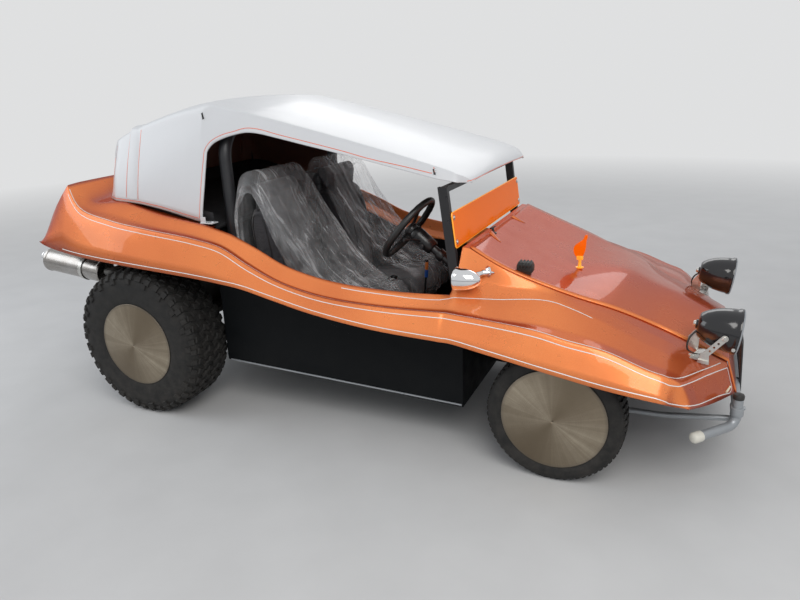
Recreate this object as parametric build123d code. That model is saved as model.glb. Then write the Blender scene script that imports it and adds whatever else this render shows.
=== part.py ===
from build123d import *
import math
import os

# A dune buggy: a one-piece body shell on a shortened floor pan, wide wheels behind, narrow ones in front.
# Millimetres. +X forward, +Y to the left, +Z up, z = 0 on the ground, x = 0 half-way along the whole length.

# Overall layout
wheelbase = 2032.0          # 80 inches
front_overhang = 684.0      # front axle to the guard in front of the nose
rear_overhang = 784.0       # rear axle to the exhaust tips
half_width = 820.0          # centre line to the lower lip of the body
shell = 6.0                 # laminate thickness of body, bonnet and hardtop
seat_gap = 0.3              # gap between pieces that rest on each other along curved faces
run_gap = 0.05              # radial gap of a shaft that turns in a hole

total_length = front_overhang + wheelbase + rear_overhang
front_x = total_length / 2 - front_overhang
rear_x = front_x - wheelbase
cabin_x = (front_x + rear_x) / 2

# Wheels
rim_radius = 190.0          # bead seat
disc_radius = 210.0         # moon disc over the rim's edge
disc_sheet = 2.0
disc_dome = 18.0            # how far the disc's middle stands out
side_recess = 6.0           # tyre wall at the disc's edge, in from the tyre's widest part
front_radius = 275.0
front_width = 152.0
front_track = 1264.0
rear_radius = 372.0
rear_width = 264.0
rear_track = 1356.0
rim_sheet = 6.0
stub_radius = 17.0          # stub axle in the wheel's hub
hub_radius = 45.0
drum_radius = 125.0
drum_depth = 44.0

# Steering
kingpin_inset = 70.0        # kingpin inboard of the front wheel's middle
kingpin_radius = 9.0
carrier_radius = 14.0
steer_arm = 110.0           # kingpin to track rod, fore and aft
joint_gap = 0.5             # gap above and below the kingpin's carrier

# Front beam
beam_radius = 30.0
beam_ahead = 120.0
beam_rise = 60.0            # each tube above or below the axle's height
beam_half = 455.0

# Floor pan, stiffened by a tunnel, follows the car's rake
floor_half = half_width - 226.0
floor_rear_z = 270.0
floor_front_z = 214.0
floor_sheet = 5.0
floor_rear = -626.0         # from the cabin's middle
floor_front = 610.0
board_sheet = 5.0           # side boards on the floor pan's edges
bulkhead_sheet = 6.0
tunnel_half = 70.0
tunnel_height = 120.0

# Cockpit
post_half = half_width - 305.0  # screen posts from the centre line
post_depth = 40.0           # fore and aft
post_width = 24.0
post_foot = (560.0, 700.0)  # from the cabin's middle, height
post_top = (503.0, 1145.0)
hoop_half = half_width - 315.0
hoop_radius = 29.0
hoop_top = 1392.0
hoop_x = -580.0             # from the cabin's middle
seat_inner = 88.0           # seats' inner sides from the centre line
seat_outer = floor_half - 62.0
seat_centre = (seat_outer + seat_inner) / 2
seat_half = (seat_outer - seat_inner) / 2
head_half = seat_half - 40.0


def fore(d):
    return front_x + d


def aft(d):
    return rear_x + d


def mid(d):
    return cabin_x + d


def write(name, shape):
    """Write one sub-part."""
    export_step(shape, "parts/" + name + ".step")


def fused(parts):
    solid = parts[0]
    for part in parts[1:]:
        solid = solid + part
    return solid


def trimmed(part, carrier):
    """The part cut off where it reaches into what carries it, without the scrap beyond."""
    return max((part - carrier).solids(), key=lambda solid: solid.volume)


def slab(points, y0, y1):
    """A plate between y0 and y1 with its outline given as x and z."""
    face = make_face(Plane.XZ * Polyline(*points, close=True))
    return Pos(0, y1, 0) * extrude(face, amount=y1 - y0, dir=(0, -1, 0))


def polyhedron(faces):
    solid = Solid(Shell([Face(Wire.make_polygon(f, close=True)) for f in faces]))
    return solid if solid.volume > 0 else Solid(solid.wrapped.Reversed())


def sheet(rows, thickness, missing=()):
    """A closed sheet of even thickness over a net of points.

    rows holds lists of points of equal length. A net cell named in missing, as (row, column), is left open.
    The points lie on the outer face, and the rows run so that the inside is on the left-hand side of the net.
    """
    nr, nc = len(rows), len(rows[0])
    cells = [(i, j) for i in range(nr - 1) for j in range(nc - 1) if (i, j) not in missing]
    out = [[Vector(*p) for p in row] for row in rows]
    slope = [[Vector(0, 0, 0) for _ in range(nc)] for _ in range(nr)]
    for i, j in cells:
        a, b, c, d = out[i][j], out[i][j + 1], out[i + 1][j + 1], out[i + 1][j]
        n = (c - a).cross(d - b)
        if n.length > 1e-6:
            n = n.normalized()
            for k, m in ((i, j), (i, j + 1), (i + 1, j + 1), (i + 1, j)):
                slope[k][m] += n
    inn = [[out[i][j] + slope[i][j].normalized() * thickness if slope[i][j].length > 1e-6 else out[i][j]
            for j in range(nc)] for i in range(nr)]
    faces = []

    def quad(a, b, c, d):
        for tri in ((a, b, c), (a, c, d)):
            if (tri[1] - tri[0]).cross(tri[2] - tri[0]).length > 1e-3:
                faces.append(tri)

    edges = {}
    for i, j in cells:
        ring = [(i, j), (i, j + 1), (i + 1, j + 1), (i + 1, j)]
        a, b, c, d = [out[k][m] for k, m in ring]
        if (d - b).length < (c - a).length - 1e-6:
            ring = ring[1:] + ring[:1]
        quad(*[out[k][m] for k, m in ring])
        quad(*[inn[k][m] for k, m in ring[:1] + ring[:0:-1]])
        for a, b in zip(ring, ring[1:] + ring[:1]):
            edges.setdefault(frozenset((a, b)), []).append((a, b))
    for used in edges.values():
        if len(used) == 1:
            (i, j), (k, m) = used[0]
            quad(out[k][m], out[i][j], inn[i][j], inn[k][m])
    return polyhedron(faces)


def tube(points, radius, bend=0.0):
    """A round bar along straight runs, with its corners rounded where bend is given."""
    line = FilletPolyline(*points, radius=bend) if bend else Polyline(*points)
    start = Plane(origin=points[0], z_dir=Vector(*points[1]) - Vector(*points[0]))
    return sweep(start * Circle(radius), path=line, transition=Transition.ROUND if not bend else Transition.RIGHT)


def box(x0, x1, y0, y1, z0, z1):
    return Pos((x0 + x1) / 2, (y0 + y1) / 2, (z0 + z1) / 2) * Box(x1 - x0, y1 - y0, z1 - z0)


def across(radius, y0, y1, x, z):
    """A round bar along Y."""
    return Pos(x, (y0 + y1) / 2, z) * Rot(90, 0, 0) * Cylinder(radius, abs(y1 - y0))


def ring_about_y(profile, x, y, z, side):
    """Turn a profile of (radius, offset) about the wheel's axle. Offsets grow outwards on side 1 or -1."""
    pts = [(r, side * o) for r, o in profile]
    face = make_face(Plane.XY * Polyline(*pts, close=True))
    return Pos(x, y, z) * revolve(face, Axis.Y)


# Body shell: each row of the table is a section across the right half.
# anchor and x: where the section stands at its edge column
# lean: how much further forward the lip lies; sweep: how fast x falls away outboard of the edge column
# lip, crease, groove, rail, wall, edge: inset from half_width, then height
deck_sections = [
    # anchor, x, lean, sweep, lip, crease, groove, rail, wall, edge
    (aft, -604, 14, 0.0, (52, 852), (108, 838), (210, 842), (300, 846), (420, 848), (600, 850)),
    (aft, -420, -4, 0.0, (28, 815), (140, 1128), (210, 1134), (300, 1136), (420, 1138), (600, 1139)),
    (aft, -319, 0, 0.0, (18, 803), (96, 1012), (130, 1030), (180, 1048), (300, 1066), (560, 1076)),
    (aft, -114, 0, 0.0, (8, 787), (78, 961), (120, 985), (182, 1043), (205, 1046), (260, 1040)),
    (aft, 116, 0, 0.0, (4, 772), (72, 929), (112, 942), (166, 998), (186, 1001), (212, 990)),
    (aft, 396, 0, 0.0, (5, 753), (72, 902), (112, 904), (155, 958), (174, 961), (190, 942)),
]
cockpit_sections = [
    (mid, -480, 0, 0.0, (6, 740), (73, 877), (112, 872), (148, 924), (168, 929), (178, 868)),
    (mid, -340, 0, 0.0, (8, 723), (74, 808), (110, 806), (142, 866), (160, 873), (170, 811)),
    (mid, -200, 0, 0.0, (10, 691), (75, 743), (108, 742), (138, 801), (156, 808), (166, 746)),
    (mid, 0, 0, 0.0, (12, 646), (76, 698), (108, 696), (140, 750), (158, 757), (168, 695)),
    (mid, 290, 0, 0.0, (12, 606), (75, 679), (110, 676), (152, 722), (172, 729), (182, 667)),
    (mid, 564, 0, 0.0, (10, 591), (71, 671), (116, 680), (180, 719), (200, 726), (210, 664)),
]
nose_sections = [
    (fore, -432, 0, 0.0, (10, 590), (71, 670), (118, 681), (185, 726), (260, 800), (307, 900)),
    (fore, -404, 0, 0.0, (10, 590), (70, 668), (118, 680), (190, 726), (262, 798), (309, 897)),
    (fore, -257, 0, 0.0, (7, 566), (63, 640), (116, 668), (211, 727), (252, 768), (283, 830)),
    (fore, -54, 0, 0.0, (2, 530), (50, 622), (120, 660), (250, 727), (280, 740), (302, 751)),
    (fore, 42, 0, 0.0, (1, 513), (46, 609), (120, 648), (250, 700), (290, 708), (328, 714)),
    (fore, 184, 0, 0.0, (4, 487), (48, 574), (120, 612), (240, 646), (310, 658), (366, 666)),
    (fore, 334, 0, 0.0, (15, 464), (58, 541), (130, 556), (250, 576), (350, 588), (430, 592)),
    (fore, 395, 0, 0.0, (28, 452), (70, 522), (140, 536), (250, 552), (350, 562), (436, 566)),
    (fore, 606, 0, 0.45, (66, 430), (98, 506), (180, 490), (260, 476), (360, 462), (468, 460)),
    (fore, 648, 0, 0.45, (98, 416), (114, 408), (180, 388), (260, 368), (360, 350), (468, 334)),
]
flange = 28.0               # width of the ledge under the bonnet's edge
ledge_drop = 2.0            # fall of the ledge over its width
hang = 60.0                 # how far the cockpit's inner wall hangs below the rail's edge
board_outer = floor_half + seat_gap + board_sheet


def body_row(section, kind):
    """One section from lip to lip. kind says what lies inboard of the edge column."""
    place, x, lean, sweep, *insets = section
    edge_y = half_width - insets[-1][0]
    row = [(place(x) - sweep * (half_width - inset - edge_y), -(half_width - inset), z) for inset, z in insets]
    row[0] = (row[0][0] + lean, row[0][1], row[0][2])
    x, y, z = row[-1]
    if kind == "cockpit":
        wall_y = -board_outer - seat_gap
        row += [(x, wall_y, z - hang / 2), (x, wall_y, z - hang)]
    elif kind == "deck":
        row += [(x, y + flange / 2, z), (x, y + flange, z)]
    else:
        row += [(x, y + flange / 2, z - ledge_drop / 2), (x, y + flange, z - ledge_drop)]
    return row + [(x, 0.0, row[-1][2])] + [(px, -py, pz) for px, py, pz in reversed(row)]


def curved(line, corners):
    """The points with one more between each two, on a curve that turns sharply only at the corners."""
    points = [Vector(*p) for p in line]
    last = len(points) - 1
    out = []

    def pull(i, step):
        """How far the curve bulges beside point i, on the side of step."""
        if i in corners or i in (0, last):
            return Vector(0, 0, 0)
        before, after = points[i] - points[i - 1], points[i + 1] - points[i]
        a, b = before.length, after.length
        way = (before * (b / a) + after * (a / b)) * (1 / (a + b))
        return way * (b if step > 0 else a) - (after if step > 0 else before)

    for i in range(last):
        out += [points[i], (points[i] + points[i + 1]) * 0.5 + (pull(i, 1) - pull(i + 1, -1)) * (1 / 8)]
    return [tuple(p) for p in out + points[-1:]]


def curved_rows(net, corners_of):
    """A net with a curved row between each two. corners_of gives the corner rows of a column."""
    columns = [curved([row[j] for row in net], corners_of(j)) for j in range(len(net[0]))]
    return [list(row) for row in zip(*columns)]


def make_body():
    net = [body_row(s, kind) for kind, part in (("deck", deck_sections), ("cockpit", cockpit_sections),
                                                 ("nose", nose_sections)) for s in part]
    columns = len(net[0])
    middle = columns // 2
    last_deck = len(deck_sections) - 1
    scuttle = len(deck_sections) + len(cockpit_sections)
    tail_top, nose_top = 1, len(net) - 2
    steps = {tail_top, last_deck, last_deck + 1, scuttle - 1, scuttle, scuttle + 1, nose_top}

    def corners_of(j):
        outboard = min(j, columns - 1 - j)
        if outboard < 2:
            return {tail_top}
        return {tail_top, nose_top} if outboard < 4 else steps

    net = curved_rows(net, corners_of)
    missing = {(i, j) for i in range(len(net) - 1) for j in (middle - 1, middle)
               if i >= 2 * last_deck and i // 2 != scuttle}
    return sheet(net, shell, missing)


def edge_line(x):
    """Inset and height of the nose's edge column at x."""
    stations = [(place(at), *insets[-1]) for place, at, lean, sweep, *insets in nose_sections]
    for (x0, inset0, z0), (x1, inset1, z1) in zip(stations, stations[1:]):
        share = (x - x0) / (x1 - x0)
        if 0 <= share <= 1:
            return inset0 + share * (inset1 - inset0), z0 + share * (z1 - z0)


# Bonnet: a lift-off panel that lies on the body's ledges. It starts from the body's own edge column.
bonnet_start = -400.0
shut_gap = 5.0              # beside the bonnet
bonnet_rows = [
    # crown: height of the centre line above the edge; power: how sharp the ridge along it is
    # ahead and up: how far the outer face stands off the ledge. One row for each nose section but the first
    (-6, 2.0, 0, 1), (-14, 2.0, 0, 1), (0, 2.0, 0, 1), (14, 1.6, 0, 1), (38, 1.4, 0, 1), (50, 1.3, 0, 1),
    (53, 1.3, 0, 1), (60, 1.3, 1, 1), (8, 1.6, 1, 0),
]


def make_bonnet():
    off = shell + seat_gap
    net = []
    for (place, x, lean, sweep, *insets), (crown, power, ahead, up) in zip(nose_sections[1:], bonnet_rows):
        inset, z = insets[-1]
        x = max(x, bonnet_start)
        half = half_width - inset - shut_gap
        net.append([(place(x) + ahead * off, half * share, z + up * off + crown * (1 - abs(share) ** power))
                    for share in (-1.0, -0.86, -0.6, -0.3, 0.0, 0.3, 0.6, 0.86, 1.0)])
    front_top = len(net) - 2
    return sheet(curved_rows(net, lambda j: {front_top}), shell)


# Hardtop: skirt is the lower edge, shoulder the side's top, crown the roof at the centre line
hardtop_rows = [
    # x from the rear axle (aft) or the cabin's middle (mid), skirt's inset from half_width and z,
    # shoulder's inset and z, crown z
    (aft, -246, 250, 1058, 300, 1062, 1066), (aft, -232, 218, 1056, 300, 1286, 1300),
    (aft, -184, 202, 1051, 300, 1347, 1362), (aft, -26, 196, 1040, 300, 1406, 1424),
    (aft, 166, 196, 1008, 301, 1458, 1478), (aft, 352, 196, 968, 302, 1498, 1516),
    (aft, 385, 214, 1283, 302, 1496, 1516), (aft, 426, 224, 1325, 302, 1488, 1510),
    (aft, 527, 230, 1358, 301, 1468, 1494), (aft, 650, 234, 1364, 300, 1440, 1468),
    (mid, 0, 242, 1287, 300, 1352, 1380), (mid, 464, 255, 1184, 304, 1232, 1256),
    (mid, 560, 272, 1164, 320, 1200, 1222), (mid, 604, 350, 1154, 380, 1160, 1168),
]


def make_hardtop():
    net = []
    for place, x, skirt_in, skirt_z, shoulder_in, shoulder_z, crown in hardtop_rows:
        skirt_y, shoulder_y = half_width - skirt_in, half_width - shoulder_in
        half = [(skirt_y, skirt_z)]
        for share in (0.45, 0.85):
            y = skirt_y + (shoulder_y - skirt_y) * share ** 1.4
            half.append((y, skirt_z + (shoulder_z - skirt_z) * share))
        half += [(shoulder_y * 0.93, shoulder_z + 0.25 * (crown - shoulder_z)),
                 (shoulder_y * 0.6, shoulder_z + 0.76 * (crown - shoulder_z))]
        net.append([(place(x), -y, z) for y, z in half] + [(place(x), 0.0, crown)]
                   + [(place(x), y, z) for y, z in reversed(half)])
    return sheet(net, shell)


def floor_z(x):
    """Top of the floor pan, which follows the car's rake."""
    share = (x - mid(floor_rear)) / (floor_front - floor_rear)
    return floor_rear_z + share * (floor_front_z - floor_rear_z)


def raked(y0, y1, x0, x1, low, high):
    """A block whose lower and upper faces follow the floor pan's rake."""
    outline = [(x0, floor_z(x0) + low), (x1, floor_z(x1) + low), (x1, floor_z(x1) + high), (x0, floor_z(x0) + high)]
    return slab(outline, y0, y1)


board_lap = 24.0            # side boards up behind the body's hanging wall
toe_top = cockpit_sections[-1][-1][1] - hang - 8    # toe board and the boards' front ends, under the shell


def make_floor():
    x0, x1 = mid(floor_rear), mid(floor_front)
    pan = raked(-floor_half, floor_half, x0, x1, -floor_sheet, 0)
    tunnel = raked(-tunnel_half, tunnel_half, x0, x1, 0, tunnel_height)
    head = raked(-tunnel_half, tunnel_half, x1, fore(beam_ahead) - beam_radius, -floor_sheet, 70)
    toe_board = box(x1 - floor_sheet, x1, -floor_half, floor_half, floor_z(x1) - floor_sheet, toe_top)
    return fused([pan, tunnel, toe_board, head])


def make_side_boards():
    """Black side boards on the floor pan's edges, up behind the body's hanging wall."""
    rear, front, step = mid(floor_rear), mid(floor_front), mid(cockpit_sections[-1][1]) - 14
    tops = [(place(x), edge[1] - hang + board_lap) for place, x, lean, sweep, *other, edge in cockpit_sections[::-1]]
    tops[0:1] = [(front, toe_top), (step, toe_top), (step, tops[0][1])]
    slope = (tops[-2][1] - tops[-1][1]) / (tops[-2][0] - tops[-1][0])
    tops.append((rear, tops[-1][1] + slope * (rear - tops[-1][0])))
    outline = [(rear, floor_z(rear) - floor_sheet), (front, floor_z(front) - floor_sheet)] + tops
    return Compound([slab(outline, -board_outer, -board_outer + board_sheet),
                     slab(outline, board_outer - board_sheet, board_outer)])


def make_bulkhead(body):
    """Black panel behind the seats, from the floor pan up to the deck."""
    x = mid(floor_rear) - seat_gap
    top = deck_sections[-1][-1][1]
    return trimmed(box(x - bulkhead_sheet, x, -floor_half, floor_half, floor_rear_z - floor_sheet, top), body)


def post_line(z):
    """x of the screen post's middle at a height."""
    share = (z - post_foot[1]) / (post_top[1] - post_foot[1])
    return mid(post_foot[0] + share * (post_top[0] - post_foot[0]))


def make_screen_frame(body):
    """Two posts on feet against the cockpit's inner walls, joined by a rail at the top."""
    z0, z1 = foot_low, post_top[1]
    d = post_depth / 2
    outline = [(post_line(z0) - d, z0), (post_line(z0) + d, z0), (post_line(z1) + d, z1), (post_line(z1) - d, z1)]
    parts = [slab(outline, side * post_half - post_width / 2, side * post_half + post_width / 2) for side in (-1, 1)]
    head = [(post_line(z1 - 22) - 12, z1 - 22), (post_line(z1 - 22) + 12, z1 - 22), (post_line(z1) + 12, z1),
            (post_line(z1) - 12, z1)]
    for side in (-1, 1):
        y0, y1 = sorted((side * (post_half - post_width / 2), side * (board_outer + seat_gap + shell)))
        parts.append(box(post_line(z0) - d + 2, post_line(z0) + d - 2, y0, y1, foot_low, foot_low + 8))
    return trimmed(fused(parts + [slab(head, -post_half, post_half)]), body)


foot_low = 622.0
deflector_low = 897.0
deflector_high = 1043.0
deflector_half = post_half + 17
deflector_sheet = 5.0


def make_deflector():
    """Tinted wind deflector across the front of the posts."""
    x0 = post_line(deflector_low) + post_depth / 2 + seat_gap
    x1 = post_line(deflector_high) + post_depth / 2 + seat_gap
    outline = [(x0, deflector_low), (x0 + deflector_sheet, deflector_low), (x1 + deflector_sheet, deflector_high),
               (x1, deflector_high)]
    return slab(outline, -deflector_half, deflector_half)


def make_hoop():
    x = mid(hoop_x)
    z0 = floor_z(x - hoop_radius) + seat_gap
    points = [(x, -hoop_half, z0), (x, -hoop_half, hoop_top), (x, hoop_half, hoop_top), (x, hoop_half, z0)]
    return tube(points, hoop_radius, bend=150.0)


# Seats: outlines in x from the cabin's middle and height
cushion_outline = [(-331, 478), (90, 520), (118, 470)]
back_outline = [(-331.3, 440), (-331.3, 500), (-402, 1020), (-500, 1020), (-455, 470)]
head_outline = [(-402, 1019), (-420, 1100), (-446, 1150), (-478, 1158), (-500, 1130), (-494, 1019)]


def make_seat(side):
    """Cushion on its plinth, and a high back with a narrower head that leans on the cushion's rear edge."""
    y0, y1 = side * seat_centre - seat_half, side * seat_centre + seat_half
    top = [(mid(x), z) for x, z in cushion_outline[:3]]
    x0, x1 = top[0][0], top[2][0]
    cushion = slab(top + [(x1, floor_z(x1) + seat_gap), (x0, floor_z(x0) + seat_gap)], y0, y1)
    back = slab([(mid(x), z) for x, z in back_outline], y0 + 10, y1 - 10)
    centre = side * seat_centre
    head = slab([(mid(x), z) for x, z in head_outline], centre - head_half, centre + head_half)
    return cushion, back + head


dash_sheet = 14.0
dash_low = 745.0


def make_dashboard(body):
    """Panel under the scuttle, with a bracket that holds the steering column."""
    x0 = fore(nose_sections[0][1]) + 2
    half = half_width - nose_sections[0][-1][0] - flange
    panel = box(x0, x0 + dash_sheet, -half, half, dash_low, nose_sections[0][-1][1])
    column_z = along_column((x0 - mid(column_head[0])) / math.cos(math.radians(column_angle)))[2]
    bracket = box(x0, x0 + dash_sheet, column_y - 45, column_y + 45, column_z - 50, dash_low + 1)
    return trimmed(panel + bracket - column_bar(column_radius + seat_gap), body)


# Steering column: from the steering wheel's middle, forwards and down
column_y = -seat_centre - 50
column_head = (280.0, 934.0)    # x from the cabin's middle, height
column_angle = 38.0
column_radius = 19.0
column_start = 28.0             # from the steering wheel's middle
column_end = 560.0


def along_column(d):
    a = math.radians(column_angle)
    return (mid(column_head[0]) + d * math.cos(a), column_y, column_head[1] - d * math.sin(a))


def column_bar(radius):
    return tube([along_column(column_start), along_column(column_end)], radius)


def make_column():
    return column_bar(column_radius)


wheel_grip = 15.0
wheel_ring = 156.0


def make_steering_wheel():
    ring = Torus(wheel_ring, wheel_grip)
    hub_height = column_start - seat_gap - 2
    hub = Pos(0, 0, -2 - hub_height / 2) * Cylinder(32, hub_height)
    spokes = [Rot(0, 0, a) * Pos(wheel_ring / 2, 0, -6) * Box(wheel_ring - 8, 26, 5) for a in (90, 210, 330)]
    wheel = fused([ring, hub] + spokes)
    return Pos(*along_column(0)) * Rot(0, -(90 - column_angle), 0) * wheel


# Tyres: one flat facet to each step round the wheel, with the lowest facet flat on the ground
# profile: radius of the carcass and offset from the tyre's middle, rim to tread
# bands: offsets of the tread's blocks, between which the grooves run; every nth step is a gap
front_tread = {"steps": 48, "depth": 7.0, "bands": [(-60, -23), (-15, 15), (23, 60)], "nth": 4}
rear_tread = {"steps": 40, "depth": 14.0, "bands": [(-110, -46), (-32, 32), (46, 110)], "nth": 2}


def make_tyre(x, track, radius, width, side, tread):
    """Carcass and its tread blocks as one solid with flat faces."""
    w = width / 2
    steps, depth = tread["steps"], tread["depth"]
    grow = 1 / math.cos(math.pi / steps)
    floor = radius - depth
    wall = [(rim_radius, w - side_recess - 4), (disc_radius + 2, w - side_recess), (0.78 * radius, w)]
    edges = [y for band in tread["bands"] for y in band]
    rings = [(r, -o) for r, o in wall] + [(floor, y) for y in edges] + [(r, o) for r, o in reversed(wall)]
    first = len(wall)
    raised_cells = {first + 2 * b: b for b in range(len(tread["bands"]))}

    def raised(cell, step):
        return cell in raised_cells and (step + 2 * raised_cells[cell] // tread["nth"]) % tread["nth"] != 0

    def corner(ring, step, up=0.0):
        r, o = rings[ring]
        reach = (r + up) * grow
        a = math.radians(-90) + 2 * math.pi * (step + 0.5) / steps
        return Vector(x + reach * math.cos(a), side * (track / 2 + o), radius + reach * math.sin(a))

    faces = []
    for step in range(steps):
        following = step + 1
        for cell in range(len(rings)):
            beyond = (cell + 1) % len(rings)
            up = depth if raised(cell, step) else 0.0
            ends = [(cell, step), (beyond, step), (beyond, following), (cell, following)]
            low = [corner(*end) for end in ends]
            high = [corner(*end, up) for end in ends]
            faces.append(high)
            if not up:
                continue
            walls = [(3, 0), (1, 2)]
            if not raised(cell, step - 1):
                walls.append((0, 1))
            if not raised(cell, following):
                walls.append((2, 3))
            faces += [[low[a], low[b], high[b], high[a]] for a, b in walls]
    return polyhedron(faces)


def make_rim(x, track, radius, width, side, plate):
    """Barrel, centre plate at the hub face, brake drum behind it."""
    w = width / 2
    r = rim_radius - seat_gap
    barrel = [(r - rim_sheet, -(w - 12)), (r, -(w - 12)), (r, w - 12), (r - rim_sheet, w - 12)]
    bore = stub_radius + run_gap
    disc = [(bore, plate - rim_sheet), (r - rim_sheet + 1, plate - rim_sheet), (r - rim_sheet + 1, plate),
            (hub_radius, plate), (hub_radius, plate + 20), (bore, plate + 20)]
    drum = [(bore, plate - rim_sheet - drum_depth), (drum_radius, plate - rim_sheet - drum_depth),
            (drum_radius, plate - rim_sheet), (bore, plate - rim_sheet)]
    y = side * track / 2
    return (ring_about_y(barrel, x, y, radius, side) + ring_about_y(disc, x, y, radius, side)
            + ring_about_y(drum, x, y, radius, side))


def make_disc(x, track, radius, width, side):
    """Moon disc: a thin shallow dome over the wheel."""
    w = width / 2
    face = w - side_recess + seat_gap + disc_sheet
    profile = [(0.5, face + disc_dome), (disc_radius * 0.5, face + disc_dome * 0.72), (disc_radius - 8, face + 2),
               (disc_radius, face), (disc_radius, face - disc_sheet), (disc_radius - 8, face + 2 - disc_sheet),
               (disc_radius * 0.5, face + disc_dome * 0.72 - disc_sheet), (0.5, face + disc_dome - disc_sheet)]
    return ring_about_y(profile, x, side * track / 2, radius, side)


front_plate = 14.0          # hub face outboard of the front wheel's middle
rear_plate = 20.0


def make_front_axle():
    z = front_radius
    parts = [across(beam_radius, -beam_half, beam_half, fore(beam_ahead), z + s * beam_rise) for s in (-1, 1)]
    for side in (-1, 1):
        y = side * (front_track / 2 - kingpin_inset)
        tower = box(fore(beam_ahead) - 12, fore(beam_ahead) + 12, side * 400 - 30, side * 400 + 30,
                    z - beam_rise, z + beam_rise + 130)
        carrier = Pos(fore(0), y, z) * Cylinder(carrier_radius, 2 * beam_rise)
        parts += [tower, carrier]
        for s in (-1, 1):
            parts.append(tube([(fore(beam_ahead), side * (beam_half - 12), z + s * beam_rise),
                               (fore(0) + 10, y, z + s * (beam_rise - 14))], 11.0))
    solid = fused(parts)
    for side in (-1, 1):
        y = side * (front_track / 2 - kingpin_inset)
        solid = solid - Pos(fore(0), y, z) * Cylinder(kingpin_radius + run_gap, 400)
    return solid


lug = 14.0


def make_knuckle(side):
    """Fork about the carrier with the kingpin through it, stub axle outboard, steering arm behind."""
    z = front_radius
    y = side * (front_track / 2 - kingpin_inset)
    top = beam_rise + joint_gap
    parts = [Pos(fore(0), y, z) * Cylinder(kingpin_radius, 2 * (top + lug))]

    def block(x0, x1, d0, d1, z0, z1):
        return box(fore(x0), fore(x1), min(y + side * d0, y + side * d1), max(y + side * d0, y + side * d1), z0, z1)

    for s in (-1, 1):
        parts.append(block(-16, 16, -16, 28, z + s * (top + lug / 2) - lug / 2, z + s * (top + lug / 2) + lug / 2))
    parts.append(block(-16, 16, 17, 28, z - top - lug, z + top + lug))
    stub_end = side * (front_track / 2 + front_plate + 18)
    web = y + side * 22
    parts.append(across(stub_radius, min(web, stub_end), max(web, stub_end), fore(0), z))
    arm_z = z + top + lug / 2
    parts.append(block(-steer_arm - 12, 0, -12, 12, arm_z - 6, arm_z + 6))
    return fused(parts)


def make_track_rod():
    """Rod that ties both steering arms, close above them."""
    rod = 9.0
    z = front_radius + beam_rise + joint_gap + lug / 2 + 6 + joint_gap + rod
    y = front_track / 2 - kingpin_inset
    return across(rod, -y - 10, y + 10, fore(-steer_arm), z)


axle_tube = 38.0
torsion_radius = 45.0
torsion_x = mid(floor_rear) - bulkhead_sheet - 2 * seat_gap - torsion_radius
engine_half = 330.0


def make_rear_axle():
    """Axle tubes with their stub ends, the torsion tube ahead of them and two radius arms."""
    z = rear_radius
    inner = rear_track / 2 + rear_plate - rim_sheet - drum_depth - 4
    stub = rear_track / 2 + rear_plate + 18
    torsion_z = floor_rear_z + 60
    parts = [across(axle_tube, -inner, inner, aft(0), z), across(stub_radius, -stub, stub, aft(0), z),
             across(torsion_radius, -450, 450, torsion_x, torsion_z)]
    for side in (-1, 1):
        parts.append(tube([(torsion_x, side * 425, torsion_z), (aft(0), side * 470, z)], 20.0))
    return fused(parts)


def make_gearbox():
    z = rear_radius
    return box(aft(axle_tube + seat_gap), torsion_x - torsion_radius - seat_gap, -110, 110, z - 90, z + 110)


def make_engine():
    z = rear_radius
    return box(aft(-430), aft(-axle_tube - seat_gap), -engine_half, engine_half, z - 60, z + 330)


can_radius = 60.0
tip_radius = 32.0
can_y = half_width - 223.0
can_z = 704.0
can_length = 330.0
tip_length = 45.0


port_x = aft(-330)          # where the pipes leave the engine block
port_z = 660.0


def make_exhausts():
    """One silencer behind each rear wheel, with its tail pipe and the pipe from the engine."""
    tip_end = -total_length / 2
    can_end = tip_end + tip_length
    sides = []
    for side in (-1, 1):
        y = side * can_y
        can = Pos(can_end + can_length / 2, y, can_z) * Rot(0, 90, 0) * Cylinder(can_radius, can_length)
        tip = Rot(0, 90, 0) * Cylinder(tip_radius, tip_length + 10)
        bore = Rot(0, 90, 0) * Cylinder(tip_radius - 3, 2 * tip_length - 10)
        tip = Pos(tip_end + (tip_length + 10) / 2, y, can_z + 10) * tip - Pos(tip_end, y, can_z + 10) * bore
        pipe = tube([(can_end + can_length - 10, y, can_z), (can_end + can_length + 60, y, can_z),
                     (port_x, side * (engine_half + 60), port_z), (port_x, side * (engine_half + seat_gap), port_z)], 22.0)
        sides.append(fused([can, tip, pipe]))
    return Compound(sides)


bar_radius = 19.0
bar_x = 655.0               # cross bar ahead of the front axle
bar_z = 304.0
lamp_y = half_width - 425.0
bar_half = lamp_y + 55
end_z = 245.0               # height of the swept ends
end_back = 142.0            # how far the ends lie behind the bar
end_out = 158.0             # and outboard of it
stay_radius = 12.0
upright_top = 370.0
stay_y = lamp_y + 5


def make_bumper():
    """Bar of round tube, swept back at each end, on two stays from the front beam."""
    parts = [across(bar_radius, -bar_half, bar_half, fore(bar_x), bar_z)]
    low = front_radius - beam_rise
    beam_face = fore(beam_ahead + beam_radius) + seat_gap
    for side in (1, -1):
        sweep_back = [(fore(bar_x - end_back), side * (bar_half + end_out), end_z),
                      (fore(bar_x), side * bar_half, end_z), (fore(bar_x), side * bar_half, upright_top)]
        parts.append(tube(sweep_back, bar_radius))
        stay = [(fore(bar_x), side * stay_y, end_z), (fore(bar_x - 265), side * stay_y, low + 2),
                (beam_face, side * stay_y, low)]
        drop = [(fore(bar_x), side * stay_y, end_z - 6), (fore(bar_x), side * stay_y, bar_z)]
        parts += [tube(stay, stay_radius), tube(drop, stay_radius)]
    return fused(parts)


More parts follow.
